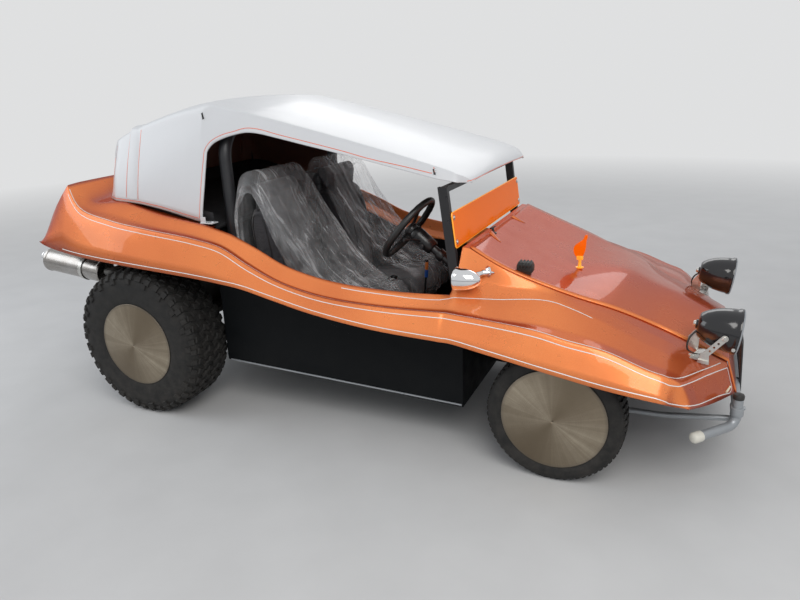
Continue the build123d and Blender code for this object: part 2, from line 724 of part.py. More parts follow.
guard_half = 200.0
guard_low = 262.0
guard_high = 505.0
guard_lean = 15.0           # how far its top lies behind its foot
guard_sheet = 6.0
guard_rail = 12.0
mesh_pitch = 30.0
mesh_wire = 3.0


def make_grille():
    """Mesh guard that stands on the bumper bar ahead of the nose."""
    def leaning(y0, y1, z0, z1, back, front):
        """A plate in the guard's own slant, back and front measured from its foot's front face."""
        def at(z):
            return total_length / 2 - guard_lean * (z - guard_low) / (guard_high - guard_low)
        foot, head = at(z0), at(z1)
        return slab([(foot - back, z0), (foot - front, z0), (head - front, z1), (head - back, z1)], y0, y1)

    outer = leaning(-guard_half, guard_half, guard_low, guard_high, guard_sheet, 0)
    hole = guard_half - guard_rail
    inner = leaning(-hole, hole, guard_low + guard_rail, guard_high - guard_rail, 2 * guard_sheet, -guard_sheet)
    parts = [outer - inner]
    w = mesh_wire / 2
    back, front = guard_sheet / 2 + 1, guard_sheet / 2 - 1
    reach = guard_half - guard_rail / 2
    low, high = guard_low + guard_rail / 2, guard_high - guard_rail / 2
    for k in range(1, int(2 * guard_half / mesh_pitch)):
        y = -guard_half + k * mesh_pitch
        parts.append(leaning(y - w, y + w, low, high, back, front))
    for k in range(1, int((guard_high - guard_low) / mesh_pitch)):
        z = guard_low + k * mesh_pitch
        parts.append(leaning(-reach, reach, z - w, z + w, back, front))
    for side in (-1, 1):
        x = fore(bar_x) + bar_radius + seat_gap
        y0, y1 = sorted((side * (guard_half - 40), side * (guard_half - 20)))
        parts.append(box(x, total_length / 2 - 4, y0, y1, bar_z - guard_rail, bar_z + guard_rail))
    return fused(parts)


lamp_z = 607.0
lamp_face = 627.0           # middle of the lamp's rim ahead of the front axle
lamp_radius = 86.0
lamp_depth = 140.0
lamp_tip = 7.0              # degrees that it looks down


def lamp_shape(side, grow=0.0):
    """Bowl of one headlamp, turned about its own axis: radius against depth behind the rim."""
    profile = [(0, 0), (lamp_radius + grow, 0), (lamp_radius + grow, 22), (lamp_radius - 6 + grow, 45),
               (lamp_radius - 14 + grow, 85), (lamp_radius - 36 + grow, lamp_depth + grow), (0, lamp_depth + grow)]
    bowl = revolve(make_face(Plane.XZ * Polyline(*profile, close=True)), Axis.Z)
    return Pos(fore(lamp_face), side * lamp_y, lamp_z) * Rot(0, -90 + lamp_tip, 0) * bowl


def make_headlamps():
    return Compound([lamp_shape(side) for side in (-1, 1)])


bracket_sheet = 4.0
bracket_foot = (488.0, 530.0)   # ahead of the front axle, from and to
bracket_out = 88.0              # blade outboard of the lamp's middle
bracket_bolt = (580.0, 606.0)   # ahead of the front axle and height


def make_lamp_brackets(body):
    """Steel bars from the wings up the outer side of each headlamp, each with a bolt into the lamp's side."""
    arms = []
    x0, x1 = bracket_foot
    foot_z = edge_line(fore((x0 + x1) / 2))[1] + 8
    bolt_x, bolt_z = bracket_bolt
    blade_outline = [(x0 + 12, foot_z - 4), (x1, foot_z - 4), (bolt_x + 13, bolt_z - 4), (bolt_x, bolt_z + 13),
                     (bolt_x - 13, bolt_z + 4)]
    for side in (-1, 1):
        inner, outer = side * (lamp_y + bracket_out), side * (lamp_y + bracket_out + bracket_sheet)
        blade = slab([(fore(x), z) for x, z in blade_outline], *sorted((inner, outer)))
        foot = box(fore(x0), fore(x1), *sorted((side * (lamp_y + 10), outer)), foot_z - 50, foot_z)
        bolt = across(6.0, *sorted((side * (lamp_y + 60), outer)), fore(bolt_x), bolt_z)
        arms.append(trimmed(fused([blade, foot, bolt - lamp_shape(side, seat_gap)]), body))
    return Compound(arms)


lever_x = 190.0             # gear lever's foot from the cabin's middle
brake_x = -60.0             # handbrake's foot


def make_levers():
    """Gear lever on the tunnel and, behind it, the handbrake."""
    top = tunnel_height
    z = floor_z(mid(lever_x)) + top
    lever = fused([raked(-30, 30, mid(lever_x) - 40, mid(lever_x) + 40, top, top + 12),
                   tube([(mid(lever_x), 0, z + 6), (mid(lever_x) - 50, 0, z + 240)], 6.0),
                   Pos(mid(lever_x) - 52, 0, z + 250) * Sphere(20)])
    z = floor_z(mid(brake_x)) + top
    brake = fused([raked(-16, 16, mid(brake_x) - 30, mid(brake_x) + 40, top, top + 30),
                   tube([(mid(brake_x) + 10, 0, z + 18), (mid(brake_x) - 240, 0, z + 80)], 9.0)])
    return Compound([lever, brake])


mirror_head = (595.0, 183.0, 800.0)     # x from the cabin's middle, inset from half_width, height


def make_mirror(body):
    """Bullet mirror on an arm from the scuttle's right side."""
    x, inset, z = mirror_head
    y = inset - half_width
    profile = [(0, 0), (44, 0), (44, 40), (34, 76), (16, 100), (0, 106)]
    bullet = revolve(make_face(Plane.XZ * Polyline(*profile, close=True)), Axis.Z)
    bullet = Pos(mid(x), y, z) * Rot(0, 90, 0) * bullet
    arm = tube([(mid(x + 45), y + 20, z), (mid(x + 105), y + 88, z + 15)], 9.0)
    return trimmed(fused([bullet, arm]), body)


catch_x = (802.0, 878.0)        # from the cabin's middle, from and to
catch_in = (30.0, 85.0)         # inboard of the bonnet's edge
catch_up = (-22.0, 38.0)        # above the body's edge there


def make_catch(bonnet):
    """Rubber catch that holds the bonnet's near edge."""
    x0, x1 = (mid(x) for x in catch_x)
    inset, z = edge_line((x0 + x1) / 2)
    edge_y = inset + shut_gap - half_width
    block = box(x0, x1, edge_y + catch_in[0], edge_y + catch_in[1], z + catch_up[0], z + catch_up[1])
    return trimmed(fillet(block.edges(), 8), bonnet)


fin_x = 1006.0                  # from the cabin's middle
fin_y = -150.0
# x from the post, z above the body's edge
fin_outline = [(-22, 46), (8, 46), (24, 126), (14, 150), (-16, 112)]


def make_fin(bonnet):
    """Small tinted fin on a post on the bonnet."""
    x = mid(fin_x)
    z = edge_line(x)[1]
    post = Pos(x, fin_y, z + 21) * Cylinder(6, 70)
    blade = slab([(x + dx, z + dz) for dx, dz in fin_outline], fin_y - 3, fin_y + 3)
    return trimmed(fused([post, blade]), bonnet)


tail_lamp_radius = 46.0
tail_outer = half_width - 220.0
tail_inner = half_width - 340.0
tail_lamp_depth = 26.0


def make_tail_lamps(body):
    """Two round lamps at each side of the tail panel."""
    low_x, low_z = aft(deck_sections[0][1]), deck_sections[0][-1][1]
    top_x, top_z = aft(deck_sections[1][1]), deck_sections[1][-1][1]
    slant = math.atan2(top_x - low_x, top_z - low_z)
    off = tail_lamp_depth / 2 - 3
    lamps = []
    for y in (-tail_outer, -tail_inner, tail_inner, tail_outer):
        x = (low_x + top_x) / 2 - off * math.cos(slant)
        z = (low_z + top_z) / 2 + off * math.sin(slant)
        lamp = Rot(0, 90 + math.degrees(slant), 0) * Cylinder(tail_lamp_radius, tail_lamp_depth)
        lamp = Pos(x, y, z) * lamp
        lamps.append(trimmed(lamp, body))
    return Compound(lamps)


def make_all():
    os.makedirs("parts", exist_ok=True)
    body = make_body()
    bonnet = make_bonnet()
    write("body_shell", body)
    write("bonnet", bonnet)
    write("bonnet_catch", make_catch(bonnet))
    write("bonnet_fin", make_fin(bonnet))
    write("hardtop", trimmed(make_hardtop(), body))
    write("floor_pan", make_floor())
    write("side_boards", make_side_boards())
    write("bulkhead", make_bulkhead(body))
    write("screen_frame", make_screen_frame(body))
    write("wind_deflector", make_deflector())
    write("roll_hoop", make_hoop())
    for side, word in ((-1, "right"), (1, "left")):
        base, back = make_seat(side)
        write("seat_base_" + word, base)
        write("seat_back_" + word, back)
    write("dashboard", make_dashboard(body))
    write("steering_column", make_column())
    write("steering_wheel", make_steering_wheel())
    write("levers", make_levers())
    write("mirror", make_mirror(body))
    write("front_axle", make_front_axle())
    write("track_rod", make_track_rod())
    write("rear_axle", make_rear_axle())
    write("gearbox", make_gearbox())
    write("engine", make_engine())
    write("exhausts", make_exhausts())
    write("front_bumper", make_bumper())
    write("grille", make_grille())
    write("headlamps", make_headlamps())
    write("lamp_brackets", make_lamp_brackets(body))
    write("tail_lamps", make_tail_lamps(body))
    for side, word in ((-1, "right"), (1, "left")):
        write("knuckle_" + word, make_knuckle(side))
        front = (fore(0), front_track, front_radius, front_width, side)
        rear = (aft(0), rear_track, rear_radius, rear_width, side)
        write("tyre_front_" + word, make_tyre(*front, front_tread))
        write("rim_front_" + word, make_rim(fore(0), front_track, front_radius, front_width, side, front_plate))
        write("disc_front_" + word, make_disc(fore(0), front_track, front_radius, front_width, side))
        write("tyre_rear_" + word, make_tyre(*rear, rear_tread))
        write("rim_rear_" + word, make_rim(aft(0), rear_track, rear_radius, rear_width, side, rear_plate))
        write("disc_rear_" + word, make_disc(aft(0), rear_track, rear_radius, rear_width, side))


make_all()
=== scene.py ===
import bmesh
import bpy
import math
import numpy as np
from mathutils import Matrix, Vector, noise
from mathutils.bvhtree import BVHTree


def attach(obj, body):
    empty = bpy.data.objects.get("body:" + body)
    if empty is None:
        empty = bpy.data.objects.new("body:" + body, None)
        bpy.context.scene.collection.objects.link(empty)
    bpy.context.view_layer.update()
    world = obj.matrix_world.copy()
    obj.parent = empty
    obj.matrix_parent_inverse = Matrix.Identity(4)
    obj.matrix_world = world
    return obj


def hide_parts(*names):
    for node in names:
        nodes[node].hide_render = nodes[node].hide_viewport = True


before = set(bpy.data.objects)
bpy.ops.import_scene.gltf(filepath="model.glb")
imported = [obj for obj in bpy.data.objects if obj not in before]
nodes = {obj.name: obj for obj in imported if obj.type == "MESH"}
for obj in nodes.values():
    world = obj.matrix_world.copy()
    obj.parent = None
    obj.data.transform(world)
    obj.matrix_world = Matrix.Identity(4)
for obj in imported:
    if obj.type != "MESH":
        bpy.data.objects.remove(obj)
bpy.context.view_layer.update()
mm = 0.001
frontX, rearX, cabinX = 1066.0, -966.0, 50.0    # front axle, rear axle and cabin middle, in mm
flipY = np.array([1, -1, 1])    # takes a place to the other side
print("frame loaded")

# camera and studio
camera = {"place": (1.4944, -3.0640, 1.5603), "azimuth": 24.330, "down": 18.194, "roll": 2.227, "lens": 29.914}
studio = {
    "world": 0.52, "worldTint": (0.93, 0.96, 1.0), "floorGrey": 0.62, "floorHalf": 30.0, "backdrop": (0.74, 0.745, 0.75),
    # each lamp: name, place, aim, size, power and colour
    "lamps": [("keyLight", (2.6, -3.6, 4.2), (0, 0, 0.6), (3.0, 3.0), 132.0, (1.0, 0.98, 0.95)),
              ("fillLight", (-4.2, -2.0, 3.0), (0, 0, 0.6), (3.0, 2.5), 55.0, (0.92, 0.96, 1.0)),
              ("backLight", (-0.5, 4.4, 3.6), (0, 0, 0.8), (5.0, 2.0), 52.0, (1, 1, 1))],
}


def makeCamera():
    az, tilt, roll = (math.radians(camera[k]) for k in ("azimuth", "down", "roll"))
    ahead = Vector((-math.sin(az), math.cos(az), 0))
    right = Vector((math.cos(az), math.sin(az), 0))
    up = Vector((0, 0, 1))
    look = ahead * math.cos(tilt) - up * math.sin(tilt)
    low = -ahead * math.sin(tilt) - up * math.cos(tilt)
    rolledRight = right * math.cos(roll) + low * math.sin(roll)
    rolledLow = -right * math.sin(roll) + low * math.cos(roll)
    data = bpy.data.cameras.new("photoCamera")
    data.lens = camera["lens"]
    data.sensor_width = 36.0
    obj = bpy.data.objects.new("photoCamera", data)
    bpy.context.scene.collection.objects.link(obj)
    turn = Matrix((rolledRight, -rolledLow, -look)).transposed().to_4x4()
    obj.matrix_world = Matrix.Translation(Vector(camera["place"])) @ turn
    bpy.context.scene.camera = obj


def areaLamp(name, place, aim, size, power, colour):
    data = bpy.data.lights.new(name, "AREA")
    data.shape = "RECTANGLE"
    data.size, data.size_y = size
    data.energy = power
    data.color = colour
    obj = bpy.data.objects.new(name, data)
    obj.location = place
    obj.rotation_euler = (Vector(aim) - Vector(place)).to_track_quat("-Z", "Y").to_euler()
    bpy.context.scene.collection.objects.link(obj)


# shading helpers
palette = {}    # finished materials by name


def join(tree, source, target):
    tree.links.new(source, target)


def plainMaterial(name, colour, rough, metal=0.0, **sockets):
    mat = bpy.data.materials.new(name)
    mat.use_nodes = True
    tree = mat.node_tree
    shader = tree.nodes["Principled BSDF"]
    shader.inputs["Base Color"].default_value = (*colour, 1)
    shader.inputs["Roughness"].default_value = rough
    shader.inputs["Metallic"].default_value = metal
    for key, value in sockets.items():
        shader.inputs[key.replace("_", " ")].default_value = value
    return tree, shader


def newGroup(name, inputs, outputs):
    tree = bpy.data.node_groups.new(name, "ShaderNodeTree")
    for label, kind, value in inputs:
        tree.interface.new_socket(label, in_out="INPUT", socket_type="NodeSocket" + kind).default_value = value
    for label, kind in outputs:
        tree.interface.new_socket(label, in_out="OUTPUT", socket_type="NodeSocket" + kind)
    return tree, tree.nodes.new("NodeGroupInput").outputs, tree.nodes.new("NodeGroupOutput").inputs


def finishWith(name, tree, shader, colour=None, rough=None, normal=None):
    # links the finished colour, roughness and normal, and keeps the material under its name
    for label, source in (("Base Color", colour), ("Roughness", rough), ("Normal", normal)):
        if source is not None:
            join(tree, source, shader.inputs[label])
    palette[name] = bpy.data.materials[name]


def useGroup(tree, group, **values):
    node = tree.nodes.new("ShaderNodeGroup")
    node.node_tree = group
    for key, value in values.items():
        socket = node.inputs[key.replace("_", " ")]
        socket.default_value = (*value, 1) if isinstance(value, tuple) and len(value) == 3 else value
    return node


def noiseNode(tree, vector, scale, detail=4.0, rough=0.6, dimensions="3D"):
    node = tree.nodes.new("ShaderNodeTexNoise")
    node.noise_dimensions = dimensions
    node.inputs["Detail"].default_value = detail
    node.inputs["Roughness"].default_value = rough
    if isinstance(scale, (int, float)):
        node.inputs["Scale"].default_value = scale
    else:
        join(tree, scale, node.inputs["Scale"])
    if vector is not None:
        join(tree, vector, node.inputs["Vector"])
    return node.outputs["Fac"]


def mapRange(tree, value, low, high, toLow=0.0, toHigh=1.0):
    node = tree.nodes.new("ShaderNodeMapRange")
    join(tree, value, node.inputs["Value"])
    for key, amount in (("From Min", low), ("From Max", high), ("To Min", toLow), ("To Max", toHigh)):
        if isinstance(amount, (int, float)):
            node.inputs[key].default_value = amount
        else:
            join(tree, amount, node.inputs[key])
    return node.outputs["Result"]


def mathNode(tree, kind, a, b=0.0):
    node = tree.nodes.new("ShaderNodeMath")
    node.operation = kind
    for i, value in enumerate((a, b)):
        if isinstance(value, (int, float)):
            node.inputs[i].default_value = value
        else:
            join(tree, value, node.inputs[i])
    return node.outputs[0]


def times(tree, a, b):
    return mathNode(tree, "MULTIPLY", a, b)


def mixColour(tree, share, a, b):
    node = tree.nodes.new("ShaderNodeMix")
    node.data_type = "RGBA"
    for socket, value in ((node.inputs[0], share), (node.inputs[6], a), (node.inputs[7], b)):
        if isinstance(value, tuple):
            socket.default_value = (*value, 1)
        elif isinstance(value, (int, float)):
            socket.default_value = value
        else:
            join(tree, value, socket)
    return node.outputs[2]


def bumpNode(tree, height, strength, distance):
    node = tree.nodes.new("ShaderNodeBump")
    node.inputs["Strength"].default_value = strength
    node.inputs["Distance"].default_value = distance
    join(tree, height, node.inputs["Height"])
    return node.outputs["Normal"]


def objectPlace(tree):
    return tree.nodes.new("ShaderNodeTexCoord").outputs["Object"]


def facingNode(tree, blend):
    node = tree.nodes.new("ShaderNodeLayerWeight")
    node.inputs["Blend"].default_value = blend
    return node.outputs["Facing"]


def lengthOf(tree, vector):
    node = tree.nodes.new("ShaderNodeVectorMath")
    node.operation = "LENGTH"
    join(tree, vector, node.inputs[0])
    return node.outputs["Value"]


def mixedSurface(tree, share, a, b, out):
    # the share between two shaders, wired to the output node
    mixer = tree.nodes.new("ShaderNodeMixShader")
    for socket, source in zip(mixer.inputs, (share, a.outputs[0], b.outputs[0])):
        join(tree, source, socket)
    join(tree, mixer.outputs[0], out.inputs["Surface"])


def seenShare(tree):
    # 1 for rays that come straight from the camera or through glass; returns it with the light path's outputs
    ray = tree.nodes.new("ShaderNodeLightPath").outputs
    return mathNode(tree, "MAXIMUM", ray["Is Camera Ray"], ray["Is Transmission Ray"]), ray


def uvPlace(tree):
    return tree.nodes.new("ShaderNodeTexCoord").outputs["UV"]


def mapped(tree, vector, move=(0, 0, 0), turn=(0, 0, 0), scale=(1, 1, 1)):
    node = tree.nodes.new("ShaderNodeMapping")
    node.inputs["Location"].default_value = move
    node.inputs["Rotation"].default_value = turn
    node.inputs["Scale"].default_value = scale
    join(tree, vector, node.inputs["Vector"])
    return node.outputs["Vector"]


def buildDust():
    tree, given, out = newGroup("roadDust", [
        ("Colour", "Color", (0.5, 0.5, 0.5, 1)), ("Dust Colour", "Color", (0.33, 0.29, 0.24, 1)),
        ("Amount", "Float", 0.5), ("Low", "Float", 0.0), ("High", "Float", 0.6), ("Scale", "Float", 9.0)],
        [("Colour", "Color"), ("Mask", "Float")])
    place = objectPlace(tree)
    parts = tree.nodes.new("ShaderNodeSeparateXYZ")
    join(tree, place, parts.inputs[0])
    low = mapRange(tree, parts.outputs["Z"], given["Low"], given["High"], 1.0, 0.12)
    coarse = mapRange(tree, noiseNode(tree, place, given["Scale"], 6.0, 0.65), 0.35, 0.7)
    fine = mapRange(tree, noiseNode(tree, place, 160.0, 3.0, 0.6), 0.3, 0.75, 0.55, 1.0)
    mask = times(tree, times(tree, low, coarse), fine)
    mask = times(tree, mask, given["Amount"])
    join(tree, mixColour(tree, mask, given["Colour"], given["Dust Colour"]), out["Colour"])
    join(tree, mask, out["Mask"])
    return tree


def buildGrain():
    tree, given, out = newGroup("surfaceGrain", [
        ("Fine Scale", "Float", 400.0), ("Coarse Scale", "Float", 20.0), ("Low", "Float", 0.3), ("High", "Float", 0.5)],
        [("Roughness", "Float"), ("Height", "Float"), ("Variation", "Float")])
    place = objectPlace(tree)
    coarse = noiseNode(tree, place, given["Coarse Scale"], 5.0, 0.6)
    fine = noiseNode(tree, place, given["Fine Scale"], 3.0, 0.55)
    join(tree, mapRange(tree, coarse, 0.3, 0.7, given["Low"], given["High"]), out["Roughness"])
    join(tree, fine, out["Height"])
    join(tree, coarse, out["Variation"])
    return tree


def buildFlake():
    tree, given, out = newGroup("metalFlake", [
        ("Base", "Color", (0.7, 0.2, 0.05, 1)), ("Glint", "Color", (1.0, 0.5, 0.2, 1)), ("Deep", "Color", (0.4, 0.08, 0.02, 1)),
        ("Flake Scale", "Float", 900.0), ("Glint Share", "Float", 0.3)], [("Colour", "Color")])
    place = objectPlace(tree)
    cells = tree.nodes.new("ShaderNodeTexVoronoi")
    join(tree, place, cells.inputs["Vector"])
    join(tree, given["Flake Scale"], cells.inputs["Scale"])
    tone = tree.nodes.new("ShaderNodeSeparateColor")
    join(tree, cells.outputs["Color"], tone.inputs[0])
    broad = noiseNode(tree, place, 2.2, 3.0, 0.5)
    base = mixColour(tree, mapRange(tree, broad, 0.3, 0.7, 0.0, 0.35), given["Base"], given["Deep"])
    spark = mapRange(tree, tone.outputs[0], 0.55, 1.0, 0.0, given["Glint Share"])
    dark = mapRange(tree, tone.outputs[1], 0.6, 1.0, 0.0, 0.25)
    colour = mixColour(tree, spark, mixColour(tree, dark, base, given["Deep"]), given["Glint"])
    join(tree, colour, out["Colour"])
    return tree


dustGroup = buildDust()
grainGroup = buildGrain()
flakeGroup = buildFlake()


def orangeFlake(name, base, deep, rough):
    tree, shader = plainMaterial(name, base, rough, 0.3, Coat_Weight=0.5, Coat_Roughness=0.035, Coat_IOR=1.5,
                                 Specular_IOR_Level=0.12, Specular_Tint=(1.0, 0.42, 0.16, 1))
    flake = useGroup(tree, flakeGroup, Glint=(1.0, 0.50, 0.22), Deep=deep, Flake_Scale=1500.0, Glint_Share=0.22)
    away = mapRange(tree, facingNode(tree, 0.5), 0.2, 0.66)
    join(tree, mixColour(tree, away, base, deep), flake.inputs["Base"])
    dust = useGroup(tree, dustGroup, Dust_Colour=(0.42, 0.33, 0.26), Amount=0.01, Low=0.3, High=1.2, Scale=14.0)
    join(tree, flake.outputs["Colour"], dust.inputs["Colour"])
    grain = useGroup(tree, grainGroup, Fine_Scale=7.0, Coarse_Scale=9.0, Low=rough - 0.06, High=rough + 0.08)
    finishWith(name, tree, shader, dust.outputs["Colour"], grain.outputs["Roughness"],
               bumpNode(tree, grain.outputs["Height"], 0.08, 0.003))


def simpleMaterial(name, colour, rough, metal=0.0, dust=0.0, dustHigh=0.8, vary=0.15, bump=0.1, fine=300.0, coarse=12.0,
                   spread=0.12, **sockets):
    tree, shader = plainMaterial(name, colour, rough, metal, **sockets)
    grain = useGroup(tree, grainGroup, Fine_Scale=fine, Coarse_Scale=coarse, Low=max(rough - spread, 0.02),
                     High=min(rough + spread, 1.0))
    dark = tuple(c * (1 - vary) for c in colour)
    light = tuple(min(c * (1 + vary), 1.0) for c in colour)
    tint, roughness = mixColour(tree, grain.outputs["Variation"], dark, light), grain.outputs["Roughness"]
    if dust:
        layer = useGroup(tree, dustGroup, Amount=dust, Low=0.0, High=dustHigh)
        join(tree, tint, layer.inputs["Colour"])
        tint = layer.outputs["Colour"]
        duller = mathNode(tree, "ADD", roughness, times(tree, layer.outputs["Mask"], 0.4))
        roughness = mathNode(tree, "MINIMUM", duller, 1.0)
    finishWith(name, tree, shader, tint, roughness, bumpNode(tree, grain.outputs["Height"], bump, 0.0006))


def makePaints():
    orangeFlake("orangeFlake", (1.0, 0.305, 0.092), (0.38, 0.038, 0.007), 0.30)
    simpleMaterial("rawLaminate", (0.10, 0.035, 0.02), 0.6, vary=0.35, bump=0.5, fine=180.0)
    simpleMaterial("gelWhite", (0.66, 0.67, 0.69), 0.34, vary=0.02, bump=0.01, fine=60.0, dust=0.03, dustHigh=1.5,
                   spread=0.04, Coat_Weight=0.25, Coat_Roughness=0.12)
    simpleMaterial("roofLining", (0.17, 0.075, 0.05), 0.75, vary=0.25, bump=0.6, fine=220.0)
    simpleMaterial("whiteStripe", (0.82, 0.80, 0.78), 0.28, vary=0.04, bump=0.03, Coat_Weight=0.5)
    simpleMaterial("redStripe", (0.85, 0.13, 0.04), 0.3, vary=0.06, bump=0.03, Coat_Weight=0.5)
    simpleMaterial("boardBlack", (0.005, 0.006, 0.007), 0.5, dust=0.02, dustHigh=0.5, bump=0.25, fine=150.0,
                   Specular_IOR_Level=0.12)
    simpleMaterial("shelfBlack", (0.012, 0.012, 0.014), 0.8, vary=0.3, bump=0.6, fine=500.0)
    simpleMaterial("frameBlack", (0.018, 0.018, 0.02), 0.35, dust=0.04, bump=0.15)
    simpleMaterial("paddedBlack", (0.02, 0.021, 0.024), 0.46, bump=0.5, fine=420.0, vary=0.3)
    simpleMaterial("pipingBlack", (0.014, 0.014, 0.015), 0.38, bump=0.2, fine=700.0)
    simpleMaterial("satinBlack", (0.012, 0.012, 0.013), 0.32, bump=0.08, fine=300.0)
    simpleMaterial("guardWire", (0.05, 0.05, 0.055), 0.4, 0.6, bump=0.1, dust=0.1)
    # painted glow: the amber edge shines with emission though it is no lamp
    simpleMaterial("amberEdge", (1.0, 0.42, 0.04), 0.2, vary=0.05, bump=0.02, Emission_Color=(1.0, 0.36, 0.03, 1),
                   Emission_Strength=0.35)
    simpleMaterial("gripBlack", (0.012, 0.012, 0.012), 0.42, bump=0.5, fine=900.0)
    simpleMaterial("softRubber", (0.015, 0.015, 0.015), 0.5, dust=0.15, dustHigh=1.5, bump=0.3)
    simpleMaterial("brightChrome", (0.86, 0.86, 0.87), 0.09, 1.0, vary=0.04, bump=0.02, fine=60.0, spread=0.05)
    simpleMaterial("barGrey", (0.34, 0.36, 0.38), 0.38, 0.35, dust=0.12, dustHigh=0.6, bump=0.25, fine=240.0)
    simpleMaterial("capCream", (0.72, 0.70, 0.62), 0.45, dust=0.1, bump=0.1)
    simpleMaterial("lampGloss", (0.010, 0.010, 0.012), 0.12, vary=0.2, bump=0.02, spread=0.05, Coat_Weight=0.4)
    simpleMaterial("zincSteel", (0.62, 0.61, 0.58), 0.34, 1.0, vary=0.18, coarse=70.0, bump=0.2, dust=0.1, dustHigh=1.2)
    simpleMaterial("rimBlack", (0.02, 0.02, 0.02), 0.5, dust=0.4, dustHigh=0.7)
    simpleMaterial("gearBlack", (0.022, 0.021, 0.02), 0.6, dust=0.5, dustHigh=0.8, bump=0.5, fine=160.0)
    simpleMaterial("castAlloy", (0.30, 0.30, 0.29), 0.55, 0.8, dust=0.5, dustHigh=0.9, bump=0.6, fine=240.0)
    # the dash's orange darkened with painted shade
    simpleMaterial("dashOrangeInShade", (0.16, 0.035, 0.02), 0.35, bump=0.05, Coat_Weight=0.6)
    simpleMaterial("mirrorGlass", (0.75, 0.78, 0.80), 0.03, 1.0, vary=0.01, bump=0.0, spread=0.01)
    simpleMaterial("reflectorBright", (0.85, 0.86, 0.88), 0.12, 1.0, vary=0.05, bump=0.3, fine=90.0)
    simpleMaterial("markerPale", (0.78, 0.73, 0.55), 0.3, bump=0.1)
    simpleMaterial("tagBlue", (0.03, 0.12, 0.5), 0.4, bump=0.1)
    simpleMaterial("tagOrange", (0.85, 0.25, 0.05), 0.4, bump=0.1)
    # near black for the insides of vents, strap slots and tail pipes: painted shade in the holes
    simpleMaterial("ventDark", (0.01, 0.008, 0.008), 0.7, bump=0.1)
    makeBrushedSteel()
    makeTyreRubber()
    makeSpunDisc()
    makeAmber()
    makeClearFilm()
    makeSeatCloth()
    makeLens("lampLens", (0.95, 0.97, 0.98), 0.03, 60.0)
    makeLens("redLens", (0.62, 0.02, 0.015), 0.12, 220.0)
    makeFloorMaterial()


def makeBrushedSteel():
    tree, shader = plainMaterial("brushedSteel", (0.5, 0.48, 0.45), 0.3, 1.0)
    place = objectPlace(tree)
    lines = noiseNode(tree, mapped(tree, place, scale=(1.0, 40.0, 40.0)), 9.0, 4.0, 0.7)
    stain = mapRange(tree, noiseNode(tree, place, 14.0, 5.0, 0.6), 0.35, 0.7)
    tone = mixColour(tree, lines, (0.30, 0.29, 0.28), (0.52, 0.50, 0.48))
    tone = mixColour(tree, times(tree, stain, 0.35), tone, (0.20, 0.16, 0.12))
    finishWith("brushedSteel", tree, shader, tone, mapRange(tree, lines, 0.3, 0.7, 0.2, 0.36), bumpNode(tree, lines, 0.15, 0.0004))


def makeTyreRubber():
    tree, shader = plainMaterial("tyreRubber", (0.02, 0.02, 0.02), 0.75, 0.0, Specular_IOR_Level=0.35)
    place = objectPlace(tree)
    worn = mapRange(tree, noiseNode(tree, place, 30.0, 6.0, 0.65), 0.35, 0.7)
    tint = mixColour(tree, worn, (0.008, 0.008, 0.008), (0.022, 0.021, 0.020))
    dust = useGroup(tree, dustGroup, Dust_Colour=(0.17, 0.15, 0.13), Amount=0.26, Low=-0.2, High=0.9, Scale=22.0)
    join(tree, tint, dust.inputs["Colour"])
    grain = bumpNode(tree, noiseNode(tree, place, 420.0, 4.0, 0.6), 0.25, 0.0008)
    finishWith("tyreRubber", tree, shader, dust.outputs["Colour"], mapRange(tree, worn, 0.0, 1.0, 0.58, 0.88), grain)


def makeSpunDisc():
    tree, shader = plainMaterial("spunDisc", (0.5, 0.45, 0.37), 0.34, 1.0)
    uv = mapped(tree, uvPlace(tree), move=(-1.0, -1.0, 0), scale=(2, 2, 1))    # centre of the disc at 0
    radius = lengthOf(tree, uv)
    fan = tree.nodes.new("ShaderNodeTexGradient")
    fan.gradient_type = "RADIAL"
    join(tree, uv, fan.inputs[0])
    turn = times(tree, fan.outputs["Fac"], 2 * math.pi)
    # painted reflection: two lighter lobes around the disc where spun metal would catch the light, streaked by the spin
    # marks
    reflectionLobes = times(tree, mathNode(tree, "COSINE", times(tree, mathNode(tree, "ADD", turn, 0.55), 2.0)), 0.5)
    reflectionLobes = mathNode(tree, "ADD", reflectionLobes, 0.5)
    fine = noiseNode(tree, None, 34.0, 4.0, 0.7, "1D")
    join(tree, fan.outputs["Fac"], fine.node.inputs["W"])
    brushedReflectionStreak = times(tree, reflectionLobes, mapRange(tree, fine, 0.3, 0.7, 0.5, 1.0))
    rings = noiseNode(tree, None, 120.0, 3.0, 0.7, "1D")
    join(tree, radius, rings.node.inputs["W"])
    place = objectPlace(tree)
    stain = mapRange(tree, noiseNode(tree, place, 8.0, 7.0, 0.7), 0.35, 0.7)
    tone = mixColour(tree, brushedReflectionStreak, (0.235, 0.19, 0.135), (0.56, 0.485, 0.375))
    tone = mixColour(tree, mapRange(tree, rings, 0.3, 0.7, 0.0, 0.35), tone, (0.17, 0.135, 0.095))
    tone = mixColour(tree, times(tree, stain, 0.45), tone, (0.19, 0.15, 0.105))
    edge = mapRange(tree, radius, 0.93, 1.0, 0.0, 0.55)
    tone = mixColour(tree, edge, tone, (0.15, 0.13, 0.11))
    finishWith("spunDisc", tree, shader, tone, mapRange(tree, rings, 0.2, 0.8, 0.28, 0.46), bumpNode(tree, rings, 0.25, 0.0004))


def makeAmber():
    # amber acrylic with a painted glow in its own colour, lighter where it faces the view, though it is no lamp
    tree, shader = plainMaterial("amberAcrylic", (1.0, 0.22, 0.002), 0.06, 0.0, Transmission_Weight=0.18, IOR=1.45,
                                 Specular_IOR_Level=0.12, Emission_Strength=0.12)
    grain = useGroup(tree, grainGroup, Fine_Scale=120.0, Coarse_Scale=6.0, Low=0.04, High=0.16)
    tint = mixColour(tree, facingNode(tree, 0.25), (1.0, 0.17, 0.001), (1.0, 0.27, 0.006))
    join(tree, tint, shader.inputs["Emission Color"])
    finishWith("amberAcrylic", tree, shader, tint, grain.outputs["Roughness"])


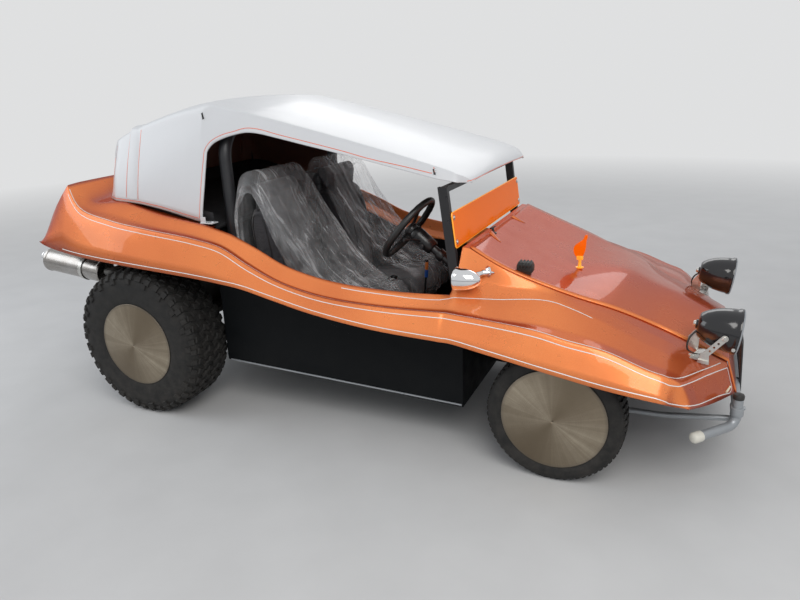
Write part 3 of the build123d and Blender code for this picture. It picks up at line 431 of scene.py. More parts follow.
def makeClearFilm():
    tree, shader = plainMaterial("clearFilm", (0.86, 0.87, 0.89), 0.12, 0.0, IOR=1.45, Specular_IOR_Level=0.7)
    pulled = mapped(tree, uvPlace(tree), scale=(1.0, 0.13, 1.0))    # long pulls down the cover
    place = objectPlace(tree)
    lines = []
    for scale, width in ((9.0, 0.030), (26.0, 0.030), (60.0, 0.035)):
        field = noiseNode(tree, pulled, scale, 3.0, 0.55)
        away = mathNode(tree, "ABSOLUTE", mathNode(tree, "SUBTRACT", field, 0.5))
        lines.append(mapRange(tree, away, 0.0, width, 1.0, 0.0))
    # pale fold lines: folds in the film, with painted highlights along them
    foldAndHighlight = mathNode(tree, "MAXIMUM", lines[0], times(tree, lines[1], 0.55))
    foldAndHighlight = mathNode(tree, "MAXIMUM", foldAndHighlight, times(tree, lines[2], 0.3))
    patchy = mapRange(tree, noiseNode(tree, place, 7.0, 3.0, 0.6), 0.38, 0.66)
    alpha = times(tree, foldAndHighlight, mapRange(tree, patchy, 0.0, 1.0, 0.06, 0.34))
    alpha = mathNode(tree, "ADD", alpha, times(tree, patchy, 0.10))
    # paler film at grazing angles: painted reflection
    alpha = mathNode(tree, "ADD", alpha, times(tree, facingNode(tree, 0.3), 0.22))
    join(tree, mathNode(tree, "MINIMUM", mathNode(tree, "ADD", alpha, 0.05), 1.0), shader.inputs["Alpha"])
    height = mathNode(tree, "ADD", noiseNode(tree, pulled, 16.0, 3.0, 0.55), times(tree, foldAndHighlight, 0.15))
    finishWith("clearFilm", tree, shader, normal=bumpNode(tree, height, 0.6, 0.010))


def makeSeatCloth():
    tree, shader = plainMaterial("seatCloth", (0.03, 0.03, 0.035), 0.85, 0.0, Sheen_Weight=0.25)
    place = objectPlace(tree)
    weave = []
    for turn in (0.0, math.pi / 2):
        wave = tree.nodes.new("ShaderNodeTexWave")
        wave.inputs["Scale"].default_value = 260.0
        wave.inputs["Distortion"].default_value = 1.2
        join(tree, mapped(tree, place, turn=(turn, 0.3, 0.2)), wave.inputs["Vector"])
        weave.append(wave.outputs["Fac"])
    cross = times(tree, weave[0], weave[1])
    mottled = noiseNode(tree, place, 24.0, 5.0, 0.6)
    tint = mixColour(tree, mottled, (0.010, 0.010, 0.013), (0.045, 0.044, 0.05))
    tint = mixColour(tree, times(tree, cross, 0.35), tint, (0.085, 0.085, 0.095))
    finishWith("seatCloth", tree, shader, tint, normal=bumpNode(tree, cross, 0.5, 0.0006))


def makeLens(name, colour, rough, scale):
    tree, shader = plainMaterial(name, colour, rough, 0.0, Transmission_Weight=0.6, IOR=1.5)
    place = objectPlace(tree)
    wave = tree.nodes.new("ShaderNodeTexWave")
    wave.bands_direction = "Y"
    wave.inputs["Scale"].default_value = scale
    join(tree, place, wave.inputs["Vector"])
    tint = mixColour(tree, noiseNode(tree, place, 40.0), tuple(c * 0.85 for c in colour), colour)
    finishWith(name, tree, shader, tint, normal=bumpNode(tree, wave.outputs["Fac"], 0.35, 0.001))


def makeFloorMaterial():
    grey = studio["floorGrey"]
    tree, shader = plainMaterial("paleFloor", (grey, grey, grey), 0.85, 0.0, Specular_IOR_Level=0.15)
    place = objectPlace(tree)
    speck = mapRange(tree, noiseNode(tree, place, 3.0, 4.0, 0.5), 0.3, 0.7, grey * 0.97, grey * 1.03)
    tone = tree.nodes.new("ShaderNodeCombineColor")
    for i in range(3):
        join(tree, speck, tone.inputs[i])
    finishWith("paleFloor", tree, shader, tone.outputs[0])
    far = mapRange(tree, lengthOf(tree, place), 3.5, 11.0)    # the floor runs into the backdrop from 3.5 to 11 m out
    glow = tree.nodes.new("ShaderNodeEmission")
    glow.inputs["Color"].default_value = (*studio["backdrop"], 1)
    mixedSurface(tree, times(tree, far, seenShare(tree)[0]), shader, glow, tree.nodes["Material Output"])


def makeStudio():
    scene = bpy.context.scene
    scene.view_settings.view_transform = "Standard"
    world = bpy.data.worlds.new("softWorld")
    scene.world = world
    world.use_nodes = True
    tree = world.node_tree
    tree.nodes.clear()
    out = tree.nodes.new("ShaderNodeOutputWorld")
    lit = tree.nodes.new("ShaderNodeBackground")
    seen = tree.nodes.new("ShaderNodeBackground")
    lit.inputs["Strength"].default_value = studio["world"]
    lit.inputs["Color"].default_value = (*studio["worldTint"], 1)
    seen.inputs["Color"].default_value = (*studio["backdrop"], 1)
    seen.inputs["Strength"].default_value = 1.0
    share, ray = seenShare(tree)
    share = mathNode(tree, "MAXIMUM", share, times(tree, ray["Is Glossy Ray"], 0.75))
    mixedSurface(tree, share, lit, seen, out)
    for lamp in studio["lamps"]:
        areaLamp(*lamp)
    size = studio["floorHalf"]
    corners = [(-size, -size, 0), (size, -size, 0), (size, size, 0), (-size, size, 0)]
    floor = makePiece("floor", corners, [(0, 1, 2, 3)], None, None, "paleFloor", smooth=False)


# mesh helpers
def makePiece(name, verts, faces, body, slot, finish, replaced=(), smooth=True, inner=None, uvs=None):
    mesh = bpy.data.meshes.new(name)
    mesh.from_pydata([tuple(v) for v in verts], [], faces)
    mesh.update()
    obj = bpy.data.objects.new(name, mesh)
    bpy.context.scene.collection.objects.link(obj)
    mesh.materials.append(palette[finish])
    if inner:
        mesh.materials.append(palette[inner])
    if smooth:
        mesh.polygons.foreach_set("use_smooth", [True] * len(mesh.polygons))
    if uvs is not None:
        layer = mesh.uv_layers.new(name="pieceMap")
        for loop in mesh.loops:
            layer.data[loop.index].uv = uvs[loop.vertex_index]
    if body:
        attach(obj, body)
    if replaced:
        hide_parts(*replaced)
    return obj


def joinedPiece(name, parts, slot, finish, body="body", **more):
    return makePiece(name, *joinParts(parts), body, slot, finish, **more)


def bakeModifiers(obj):
    graph = bpy.context.evaluated_depsgraph_get()
    mesh = bpy.data.meshes.new_from_object(obj.evaluated_get(graph))
    obj.modifiers.clear()
    obj.data = mesh


def tangents(points):
    pts = np.array(points, float)
    n = len(pts)
    if n == 2:
        return np.array([pts[1] - pts[0]] * 2), np.array([1.0])
    gap = np.maximum(np.linalg.norm(np.diff(pts, axis=0), axis=1), 1e-6) ** 0.75
    slope = np.diff(pts, axis=0) / gap[:, None]
    out = np.zeros_like(pts)
    for i in range(1, n - 1):
        a, b = gap[i - 1], gap[i]
        out[i] = (slope[i - 1] * b + slope[i] * a) / (a + b)
    out[0] = 1.5 * slope[0] - 0.5 * out[1]
    out[-1] = 1.5 * slope[-1] - 0.5 * out[-2]
    return out, gap


def smoothLine(points, sub, breaks=()):
    # dense points through the given ones, with corners kept at the indices in breaks
    pts = np.array(points, float)
    marks = sorted({0, len(pts) - 1, *[b for b in breaks if 0 < b < len(pts) - 1]})
    out = []
    for a, b in zip(marks, marks[1:]):
        run = pts[a:b + 1]
        slope, gap = tangents(run)
        for i in range(len(run) - 1):
            span = gap[i] if len(run) > 2 else 1.0
            for k in range(sub):
                t = k / sub
                h = (2 * t**3 - 3 * t**2 + 1, t**3 - 2 * t**2 + t, -2 * t**3 + 3 * t**2, t**3 - t**2)
                out.append(h[0] * run[i] + h[1] * span * slope[i] + h[2] * run[i + 1] + h[3] * span * slope[i + 1])
    out.append(pts[-1])
    return np.array(out)


def roundedRow(points, radii, arc=5, run=2):
    # points joined by straight runs, each inner corner rounded over its radius; returns points and corner indices
    pts = [np.array(p, float) for p in points]
    out, corners = [pts[0]], [0]
    cut = [0.0] * len(pts)
    for k in range(1, len(pts) - 1):
        lengths = (np.linalg.norm(pts[k] - pts[k - 1]), np.linalg.norm(pts[k + 1] - pts[k]))
        cut[k] = min(radii[k], 0.45 * lengths[0], 0.45 * lengths[1])
    for k in range(1, len(pts)):
        before, here = pts[k - 1], pts[k]
        length = max(np.linalg.norm(here - before), 1e-9)
        way = (here - before) / length
        start, end = before + way * cut[k - 1], here - way * cut[k]
        for j in range(1, run + 1):
            out.append(start + (end - start) * j / (run + 1))
        if k == len(pts) - 1:
            out.append(here)
            corners.append(len(out) - 1)
            break
        if radii[k] == 0:
            out.append(here)
            corners.append(len(out) - 1)
            continue
        following = pts[k + 1] - here
        after = here + following / max(np.linalg.norm(following), 1e-9) * cut[k]
        for j in range(arc):
            t = j / (arc - 1)
            out.append((1 - t) ** 2 * end + 2 * t * (1 - t) * here + t * t * after)
            if j == arc // 2:
                corners.append(len(out) - 1)
    return np.array(out), corners


def gridFaces(rows, cols, flip=False, wrapRows=False, wrapCols=False, skip=None):
    faces = []
    for i in range(rows if wrapRows else rows - 1):
        for j in range(cols if wrapCols else cols - 1):
            if skip and skip(i, j):
                continue
            a, b = i * cols + j, i * cols + (j + 1) % cols
            c, d = ((i + 1) % rows) * cols + (j + 1) % cols, ((i + 1) % rows) * cols + j
            faces.append((a, d, c, b) if flip else (a, b, c, d))
    return faces


def addSolidify(obj, thickness, innerSlot=0, offset=-1.0):
    mod = obj.modifiers.new("thickness", "SOLIDIFY")
    mod.thickness = thickness
    mod.offset = offset
    mod.use_even_offset = False
    mod.material_offset = innerSlot


def facingOut(verts, faces, probe, outward):
    # the faces, turned over if the probe face looks away from outward
    a, b, c = (Vector(verts[k]) for k in faces[probe][:3])
    return faces if (b - a).cross(c - a).dot(Vector(outward)) > 0 else [f[::-1] for f in faces]


def ribbon(points, normals, width, lift):
    # a flat strip along a surface path; returns verts and faces
    pts, nrm = np.array(points, float), np.array(normals, float)
    nrm /= np.maximum(np.linalg.norm(nrm, axis=1)[:, None], 1e-9)
    way = np.gradient(pts, axis=0)
    side = np.cross(nrm, way)
    side /= np.maximum(np.linalg.norm(side, axis=1)[:, None], 1e-9)
    left, right = pts + side * width / 2 + nrm * lift, pts - side * width / 2 + nrm * lift
    verts = [p for pair in zip(left, right) for p in pair]
    faces = [(2 * i, 2 * i + 1, 2 * i + 3, 2 * i + 2) for i in range(len(pts) - 1)]
    return verts, faces


def turns(count, start=0.0):
    # angles all round, start given in steps
    return [2 * math.pi * (k + start) / count for k in range(count)]


def inMm(points):
    return [Vector(p) * mm for p in points]


def joinParts(parts):
    verts, faces = [], []
    for v, f in parts:
        base = len(verts)
        verts += [tuple(p) for p in v]
        faces += [tuple(i + base for i in face) for face in f]
    return verts, faces


def turned(profile, centre, steps, upright=False, side=1):
    # a closed profile of (radius, offset) in mm turned about Y, or upright about Z; returns verts and faces
    x, y, z = centre
    verts = []
    for a in turns(steps):
        for r, o in profile:
            u, w, o = r * math.cos(a), r * math.sin(a), side * o
            verts.append(((x + u) * mm, (y + w) * mm, (z + o) * mm) if upright else ((x + u) * mm, (y + o) * mm, (z + w) * mm))
    return verts, gridFaces(steps, len(profile), wrapRows=True, wrapCols=True)


def tubeAlong(points, radius, steps=16, caps=True):
    # a round bar along dense points; returns verts and faces
    pts = [Vector(p) for p in points]
    verts, faces = [], []
    way = (pts[1] - pts[0]).normalized()
    side = way.orthogonal().normalized()
    for i, p in enumerate(pts):
        ahead = (pts[min(i + 1, len(pts) - 1)] - pts[max(i - 1, 0)]).normalized()
        side = (side - ahead * side.dot(ahead)).normalized()
        other = ahead.cross(side)
        r = radius[i] if isinstance(radius, (list, tuple)) else radius
        verts += [p + (side * math.cos(a) + other * math.sin(a)) * r for a in turns(steps)]
    faces = gridFaces(len(pts), steps, wrapCols=True)
    if caps:
        faces.append(tuple(range(steps - 1, -1, -1)))
        last = (len(pts) - 1) * steps
        faces.append(tuple(range(last, last + steps)))
    return verts, faces


def reshape(obj, change):
    bm = bmesh.new()
    bm.from_mesh(obj.data)
    change(bm)
    bm.to_mesh(obj.data)
    bm.free()


def taken(bm, place=None):
    # the verts and faces of a finished bmesh, each vertex passed through place
    bmesh.ops.recalc_face_normals(bm, faces=bm.faces)
    verts = [place(*(c / mm for c in v.co)) if place else v.co.copy() for v in bm.verts]
    faces = [tuple(v.index for v in f.verts) for f in bm.faces]
    bm.free()
    return verts, faces


def fixNormals(obj):
    def change(bm):
        bmesh.ops.remove_doubles(bm, verts=bm.verts, dist=1e-6)
        bmesh.ops.recalc_face_normals(bm, faces=bm.faces)

    reshape(obj, change)


def smoothShade(obj):
    obj.data.polygons.foreach_set("use_smooth", [True] * len(obj.data.polygons))


def blockMesh(x0, x1, y0, y1, z0, z1, bevel=0.0, segments=2):
    bm = bmesh.new()
    bmesh.ops.create_cube(bm, size=1.0)
    for v in bm.verts:
        v.co = Vector(((x0 if v.co.x < 0 else x1), (y0 if v.co.y < 0 else y1), (z0 if v.co.z < 0 else z1))) * mm
    if bevel:
        bmesh.ops.bevel(bm, geom=list(bm.edges), offset=bevel * mm, segments=segments, affect="EDGES", profile=0.5)
    return taken(bm)


def plateMesh(outline, thickness, toWorld, bevel=0.0):
    # a flat plate with the given outline (u, v) in mm, made solid and placed by toWorld(u, v, w)
    bm = bmesh.new()
    ring = [bm.verts.new((u * mm, v * mm, 0)) for u, v in outline]
    face = bm.faces.new(ring)
    raised = bmesh.ops.extrude_face_region(bm, geom=[face])["geom"]
    for v in [g for g in raised if isinstance(g, bmesh.types.BMVert)]:
        v.co.z += thickness * mm
    if bevel:
        bmesh.ops.bevel(bm, geom=list(bm.edges), offset=bevel * mm, segments=2, affect="EDGES", profile=0.5)
    return taken(bm, toWorld)


makeCamera()
makePaints()
makeStudio()
print("camera, studio and finishes made")

# body skin
# rows: zone, x from the zone's place, lean of the lip, sweep of the row towards the middle, then (inset from the
# half width, z) of lip, crease, groove, rail, wall and edge
bodySkin = {"halfWidth": 820.0, "sub": 6, "thickness": 0.006, "boardOuter": 599.3, "flange": 28.0, "hang": 60.0,
            "tailBulge": 28.0}
cornerRadii = [0, 10, 13, 11, 8, 5, 10, 8]
zonePlace = {"deck": rearX, "cockpit": cabinX, "nose": frontX}
bodyRows = [
    ("deck", -604, 14, 0.0, (52, 852), (108, 838), (210, 842), (300, 846), (420, 848), (600, 850)),
    ("deck", -420, -4, 0.0, (28, 815), (140, 1128), (210, 1134), (300, 1136), (420, 1138), (600, 1139)),
    ("deck", -319, 0, 0.0, (18, 803), (96, 1028), (130, 1030), (180, 1048), (300, 1066), (560, 1076)),
    ("deck", -114, 0, 0.0, (8, 787), (78, 974), (120, 992), (182, 1043), (205, 1046), (260, 1040)),
    ("deck", 116, 0, 0.0, (4, 772), (72, 945), (112, 950), (166, 998), (186, 1001), (212, 990)),
    ("deck", 396, 0, 0.0, (5, 753), (72, 914), (112, 912), (155, 958), (174, 961), (190, 942)),
    ("cockpit", -480, 0, 0.0, (6, 740), (73, 886), (112, 878), (148, 924), (168, 929), (178, 868)),
    ("cockpit", -340, 0, 0.0, (8, 723), (74, 814), (110, 806), (142, 866), (160, 873), (170, 811)),
    ("cockpit", -200, 0, 0.0, (10, 691), (75, 755), (108, 742), (138, 801), (156, 808), (166, 746)),
    ("cockpit", 0, 0, 0.0, (12, 646), (76, 706), (108, 696), (140, 750), (158, 757), (168, 695)),
    ("cockpit", 290, 0, 0.0, (12, 606), (75, 686), (110, 676), (152, 722), (172, 729), (182, 667)),
    ("cockpit", 564, 0, 0.0, (10, 591), (71, 690), (116, 680), (180, 719), (200, 726), (210, 664)),
    ("nose", -432, 0, 0.0, (10, 590), (76, 688), (118, 681), (185, 726), (260, 800), (307, 900)),
    ("nose", -404, 0, 0.0, (10, 590), (75, 686), (118, 680), (190, 726), (262, 798), (309, 897)),
    ("nose", -257, 0, 0.0, (7, 566), (78, 674), (116, 668), (211, 727), (252, 768), (283, 830)),
    ("nose", -54, 0, 0.0, (2, 530), (65, 656), (120, 660), (250, 727), (280, 740), (302, 751)),
    ("nose", 42, 0, 0.0, (1, 513), (61, 636), (120, 648), (250, 700), (290, 708), (328, 714)),
    ("nose", 184, 0, 0.0, (4, 487), (63, 611), (120, 612), (240, 646), (310, 658), (366, 666)),
    ("nose", 334, 0, 0.0, (15, 464), (70, 555), (130, 556), (250, 576), (350, 588), (430, 592)),
    ("nose", 395, 0, 0.0, (28, 452), (78, 535), (140, 536), (250, 552), (350, 562), (436, 566)),
    ("nose", 606, 0, 0.45, (66, 430), (98, 508), (180, 490), (260, 476), (360, 462), (468, 460)),
    ("nose", 648, 0, 0.45, (98, 416), (114, 408), (180, 388), (260, 368), (360, 350), (468, 334)),
]
lastDeck, firstNose, noseTop = 5, 12, 20    # rows where the zones end, begin and fold over the nose


def bodyStations(row):
    kind, x, lean, sweep, *insets = row
    half = bodySkin["halfWidth"]
    edgeY = half - insets[-1][0]
    pts = [[zonePlace[kind] + x - sweep * (half - inset - edgeY), -(half - inset), z] for inset, z in insets]
    pts[0][0] += lean
    ex, ey, ez = pts[-1]
    if kind == "cockpit":
        wall = -bodySkin["boardOuter"] - 0.3
        pts += [[ex, wall, ez - bodySkin["hang"] / 2], [ex, wall, ez - bodySkin["hang"]]]
    else:
        fall = 0.0 if kind == "deck" else 1.0
        pts += [[ex, ey + bodySkin["flange"] / 2, ez - fall], [ex, ey + bodySkin["flange"], ez - 2 * fall]]
    return pts


def makeBodyGrid():
    # right half of the skin as a dense grid of points in mm, with the columns of the stations
    stations = np.array([bodyStations(r) for r in bodyRows])
    dense = []
    for j in range(stations.shape[1]):
        breaks = {1} if j < 2 else {1, noseTop}
        if j >= 4:
            breaks |= {lastDeck, lastDeck + 1, firstNose - 1, firstNose, firstNose + 1}
        dense.append(smoothLine(stations[:, j], bodySkin["sub"], breaks))
    dense = np.array(dense).transpose(1, 0, 2)
    for i in range(1, bodySkin["sub"]):
        share = i / bodySkin["sub"]
        dense[i, :, 0] -= bodySkin["tailBulge"] * 4 * share * (1 - share)
    rows = [roundedRow(row, cornerRadii) for row in dense]
    return np.array([pts for pts, _ in rows]), rows[-1][1]


bodyGrid, bodyCols = makeBodyGrid()


def bodyNormals(grid):
    down = np.gradient(grid, axis=0)
    over = np.gradient(grid, axis=1)
    nrm = np.cross(over, down)
    return nrm / np.maximum(np.linalg.norm(nrm, axis=2)[:, :, None], 1e-9)


bodyNrm = bodyNormals(bodyGrid)
if bodyNrm[60, 3][1] > 0:    # turned over if the right side's normals look inwards
    bodyNrm = -bodyNrm


def makeBody():
    sub = bodySkin["sub"]
    rows, cols = bodyGrid.shape[:2]
    full = []
    for right in bodyGrid:
        x, y, z = right[-1]
        middle = [np.array([x, y * share, z]) for share in (0.75, 0.5, 0.25, 0, -0.25, -0.5, -0.75)]
        full.append(list(right) + middle + list(right[::-1] * flipY))
    count = len(full[0])
    deckEnd = lastDeck * sub
    scuttle = (firstNose * sub, (firstNose + 1) * sub)

    def skip(i, j):
        if j < cols - 1 or j >= count - cols:
            return False
        return not (i < deckEnd or scuttle[0] <= i < scuttle[1])

    faces = gridFaces(rows, count, skip=skip)
    verts = [p * mm for row in full for p in row]
    faces = facingOut(verts, faces, next(k for k, f in enumerate(faces) if f[0] == 60 * count + 3), (0, -1, 0))
    obj = makePiece("bodySkin", verts, faces, "body", "body_paint", "orangeFlake", ("body_shell",), inner="rawLaminate")

    def clean(bm):
        bmesh.ops.delete(bm, geom=[v for v in bm.verts if not v.link_faces], context="VERTS")
        bmesh.ops.dissolve_degenerate(bm, dist=1e-5, edges=bm.edges)

    reshape(obj, clean)
    addSolidify(obj, bodySkin["thickness"], 1)


def alongRow(row, start, distance):
    # point on the skin's row, distance mm from the start column towards the lip (negative) or the rail
    line = bodyGrid[row]
    step = 1 if distance > 0 else -1
    k, left = start, abs(distance)
    while 0 <= k + step < len(line):
        length = np.linalg.norm(line[k + step] - line[k])
        if length >= left:
            share = left / max(length, 1e-9)
            return line[k] * (1 - share) + line[k + step] * share, bodyNrm[row, k]
        left -= length
        k += step
    return line[k], bodyNrm[row, k]


makeBody()
print("body skin made")

# bonnet
bonnet = {"sub": 8, "thickness": 0.006, "start": -400.0, "gap": 5.0, "off": 6.3, "across": 33}
# body row, crown, power of the crown, shift forwards and shift up, both in steps of off
bonnetRows = [(13, -6, 2.0, 0, 1), (14, -14, 2.0, 0, 1), (15, 0, 2.0, 0, 1), (16, 14, 1.6, 0, 1), (17, 38, 1.4, 0, 1),
              (18, 50, 1.3, 0, 1), (19, 53, 1.3, 0, 1), (20, 60, 1.3, 1, 1), (21, 8, 1.6, 1, 0)]


def makeBonnet():
    edge = []
    for number, crown, power, ahead, up in bonnetRows:
        kind, x = bodyRows[number][:2]
        inset, z = bodyRows[number][-1]
        x = max(x, bonnet["start"])
        edge.append([zonePlace[kind] + x + ahead * bonnet["off"], bodySkin["halfWidth"] - inset - bonnet["gap"],
                     z + up * bonnet["off"], crown, power])
    dense = smoothLine(edge, bonnet["sub"], {7})
    n = bonnet["across"]
    verts = []
    for x, half, z, crown, power in dense:
        verts += inMm((x, s * half, z + crown * (1 - abs(s) ** power)) for s in np.linspace(-1, 1, n))
    faces = facingOut(verts, gridFaces(len(dense), n), 10, (0, 0, 1))
    obj = makePiece("bonnetSkin", verts, faces, "body", "body_paint", "orangeFlake", ("bonnet",), inner="rawLaminate")
    addSolidify(obj, bonnet["thickness"], 1)


makeBonnet()
print("bonnet made")

# hardtop
hardtop = {"thickness": 0.006, "sub": 4, "corners": {1, 3, 9, 13}, "sideSteps": 7,
           # across the roof: share of the shoulder's half width and of the crown's rise, and the bends' radii
           "roof": [(1, 0), (0.62, 0.72), (0.3, 0.95), (0, 1)], "bends": [46, 120, 120, 0]}
# lower outline of the side from the rear corner forwards, x from the cabin's middle and z, then the shoulder's x and z
# and the crown's z
hardtopRibs = [
    (-1262, 1058, -1264, 1064, 1066), (-1262, 1058, -1262, 1151, 1158), (-1259, 1057, -1243, 1288, 1300),
    (-1240, 1055, -1217, 1338, 1352), (-1186, 1050, -1150, 1368, 1384), (-1042, 1040, -1042, 1406, 1424),
    (-880, 1014, -900, 1447, 1468), (-760, 988, -780, 1476, 1499), (-690, 972, -700, 1492, 1516),
    (-664, 968, -668, 1497, 1516), (-655, 1040, -655, 1499, 1516), (-645, 1118, -642, 1499, 1516),
    (-637, 1209, -630, 1498, 1516), (-631, 1283, -612, 1495, 1516), (-615, 1305, -590, 1490, 1513),
    (-590, 1325, -560, 1483, 1507), (-539, 1345, -520, 1474, 1500), (-489, 1358, -470, 1464, 1490),
    (-425, 1368, -420, 1453, 1480), (-366, 1364, -366, 1440, 1468), (-266, 1344, -266, 1417, 1444),
    (-119, 1312, -119, 1382, 1410), (69, 1272, 69, 1336, 1364), (250, 1231, 250, 1290, 1317),
    (400, 1198, 400, 1250, 1275), (491, 1177, 491, 1224, 1247), (540, 1168, 545, 1204, 1224),
    (580, 1160, 585, 1180, 1192), (604, 1154, 604, 1160, 1168),
]


def sideY(x, z):
    # half width of the hardtop's side at a place on it, x from the cabin's middle
    low = np.interp(x, [-1262, -1186, -640, -530, -400, 0, 464, 560, 604], [585, 622, 624, 624, 618, 600, 584, 556, 470])
    high = np.interp(x, [-1262, -1186, -640, 464, 560, 604], [520, 520, 518, 516, 500, 440])
    zLow = np.interp(x, [-1262, -640, 604], [1050, 960, 900])
    zHigh = np.interp(x, [-1262, -1217, -1042, -664, -530, 0, 464, 560, 604],
                      [1062, 1338, 1406, 1498, 1476, 1352, 1232, 1200, 1160])
    share = min(max((z - zLow) / max(zHigh - zLow, 1), 0), 1)
    return low + (high - low) * share ** 1.35


def makeHardtop():
    rows = []
    steps = hardtop["sideSteps"]
    for lx, lz, sx, sz, crown in smoothLine(hardtopRibs, hardtop["sub"], hardtop["corners"]):
        side = []
        for k in range(steps):
            x, z = lx + (sx - lx) * k / steps, lz + (sz - lz) * k / steps
            side.append([x, -sideY(x, z), z])
        sy = sideY(sx, sz)
        roof = [[sx, -sy * over, sz + rise * (crown - sz)] for over, rise in hardtop["roof"]]
        line = roundedRow(side + roof, [0] * steps + hardtop["bends"], arc=7, run=1)[0]
        full = list(line) + [p * flipY for p in line[-2::-1]]
        rows.append([(cabinX + x, y, z) for x, y, z in full])
    verts = inMm(p for row in rows for p in row)
    faces = gridFaces(len(rows), len(rows[0]))
    faces = facingOut(verts, faces, (len(rows[0]) - 1) * 60 + 3, (0, -1, 0))
    obj = makePiece("hardtopSkin", verts, faces, "body", "roof_white", "gelWhite", ("hardtop",), inner="roofLining")
    addSolidify(obj, hardtop["thickness"], 1)


makeHardtop()
print("hardtop made")

# lines laid on the skins
def surfaceOf(obj):
    mesh = obj.data
    return BVHTree.FromPolygons([v.co.copy() for v in mesh.vertices], [tuple(f.vertices) for f in mesh.polygons])


def laidOn(tree, points):
    # nearest places on the surface with their normals, in mm
    found = [tree.find_nearest(p) for p in inMm(points)]
    return np.array([hit[0] / mm for hit in found]), np.array([hit[1] for hit in found])


def evenly(points, step):
    pts = np.array(points, float)
    run = np.concatenate([[0], np.cumsum(np.linalg.norm(np.diff(pts, axis=0), axis=1))])
    count = max(int(run[-1] / step), 2)
    return np.array([[np.interp(d, run, pts[:, k]) for k in range(3)] for d in np.linspace(0, run[-1], count)])


def mirrored(part):
    verts, faces = part
    return [(v[0], -v[1], v[2]) for v in verts], [f[::-1] for f in faces]


def paintedLine(tree, points, width, lift=0.8, step=5.0):
    # a thin painted line along a surface, on both sides of the part
    pts, nrm = laidOn(tree, evenly(points, step))
    verts, faces = ribbon(pts, nrm, width, lift)
    part = [p * mm for p in verts], faces
    return joinParts([part, mirrored(part)])


bodySurface = surfaceOf(bpy.data.objects["bodySkin"])
bonnetSurface = surfaceOf(bpy.data.objects["bonnetSkin"])
hardtopSurface = surfaceOf(bpy.data.objects["hardtopSkin"])

stripes = {
    "width": 3.4, "aboveCrease": 5.0, "belowCrease": 21.0, "aboveLip": 16.0, "firstRow": 7, "lastRow": 112, "railLineAndHighlightRows": (56, 100),
    "upperNose": [(1466, -731, 527), (1490, -706, 517), (1514, -664, 508), (1574, -529, 485), (1646, -382, 465)],
    "loopNose": [(1472, -750, 510), (1500, -728, 500), (1541, -647, 484), (1600, -518, 466), (1677, -362, 443),
                 (1692, -366, 400), (1703, -372, 362), (1696, -398, 352), (1660, -470, 370), (1612, -572, 388),
                 (1570, -650, 402), (1520, -728, 428), (1478, -768, 448)],
}


def makeStripes():
    rows = range(stripes["firstRow"], stripes["lastRow"])
    crease, lip = bodyCols[1], bodyCols[0]
    upper = [alongRow(r, crease, stripes["aboveCrease"])[0] for r in rows]
    lower = [alongRow(r, crease, -stripes["belowCrease"])[0] for r in rows]
    base = [alongRow(r, lip, stripes["aboveLip"])[0] for r in rows]
    upper += [np.array(p) for p in smoothLine(stripes["upperNose"], 5)]
    loop = [np.array(p) for p in smoothLine(stripes["loopNose"], 5, {4, 7})]
    rail = [bodyGrid[r][bodyCols[3] - 2] for r in range(*stripes["railLineAndHighlightRows"])]    # just outside the rail's top: a white line, partly pinstripe and partly the rail's painted highlight
    parts = [paintedLine(bodySurface, path, stripes["width"]) for path in (upper, lower + loop + base[::-1], rail)]
    joinedPiece("pinStripes", parts, "roof_white", "whiteStripe")


makeStripes()

roofLines = {
    "width": 2.6, "bandWidth": 66.0,
    "opening": [(-676, 984), (-662, 1118), (-652, 1209), (-647, 1253), (-643, 1290), (-625, 1318), (-600, 1338), (-543, 1362),
                (-492, 1373), (-425, 1388), (-364, 1384), (-262, 1360), (-115, 1328), (72, 1286), (171, 1261), (340, 1228),
                (452, 1204), (470, 1206), (466, 1226)],
    "skirt": [(-682, 985), (-760, 1000), (-845, 1019), (-900, 1030), (-1042, 1051), (-1186, 1062), (-1238, 1066)],
    "uprights": [(-1118, 1068, 1385), (-1044, 1060, 1385), (-1212, 1068, 1310)],    # x, low and top
    "visor": [(600, -470, 1165), (606, -300, 1166), (607, 0, 1168)],
    "bandX": -1082.0, "band": [(-0.5, 0.2), (-0.47, 2.2), (-0.42, 2.8), (0.42, 2.8), (0.47, 2.2), (0.5, 0.2)],
    "slots": [[(-662, -541, 1461), (-651, -546, 1433)], [(470, -541, 1226), (478, -552, 1205)]],
    "slotWidth": 13.0, "slotLift": 0.9, "rimAway": 8.5, "rimWidth": 5.0, "rimLift": 1.5,
}


def roofSide(x, z):
    return (cabinX + x, -sideY(x, z) - 4, z)


def makeRoofLines():
    r = roofLines
    paths = [[roofSide(x, z) for x, z in smoothLine([(a, 0, b) for a, b in r["opening"]], 3, {0, 16})[:, (0, 2)]],
             [roofSide(x, z) for x, z in r["skirt"]]]
    paths += [[roofSide(x, z) for z in np.linspace(low, top, 14)] for x, low, top in r["uprights"]]
    paths.append([(cabinX + x, y, z) for x, y, z in smoothLine(r["visor"], 6)])
    joinedPiece("roofStripes", [paintedLine(hardtopSurface, p, r["width"]) for p in paths], "roof_white", "redStripe")
    # raised band that wraps over the roof
    arch = [roofSide(r["bandX"], z) for z in np.linspace(1062, 1396, 16)]
    arch += [(cabinX + r["bandX"], y, 1440) for y in np.linspace(-500, 0, 16)]
    arch += [(x, -y, z) for x, y, z in arch[-2::-1]]
    laid = zip(*laidOn(hardtopSurface, arch))
    verts = [(p + np.array([share * r["bandWidth"], 0, 0]) + n * up) * mm for p, n in laid for share, up in r["band"]]
    faces = facingOut(verts, gridFaces(len(arch), len(r["band"])), 2, (0, -1, 0))
    makePiece("roofBand", verts, faces, "body", "roof_white", "gelWhite")


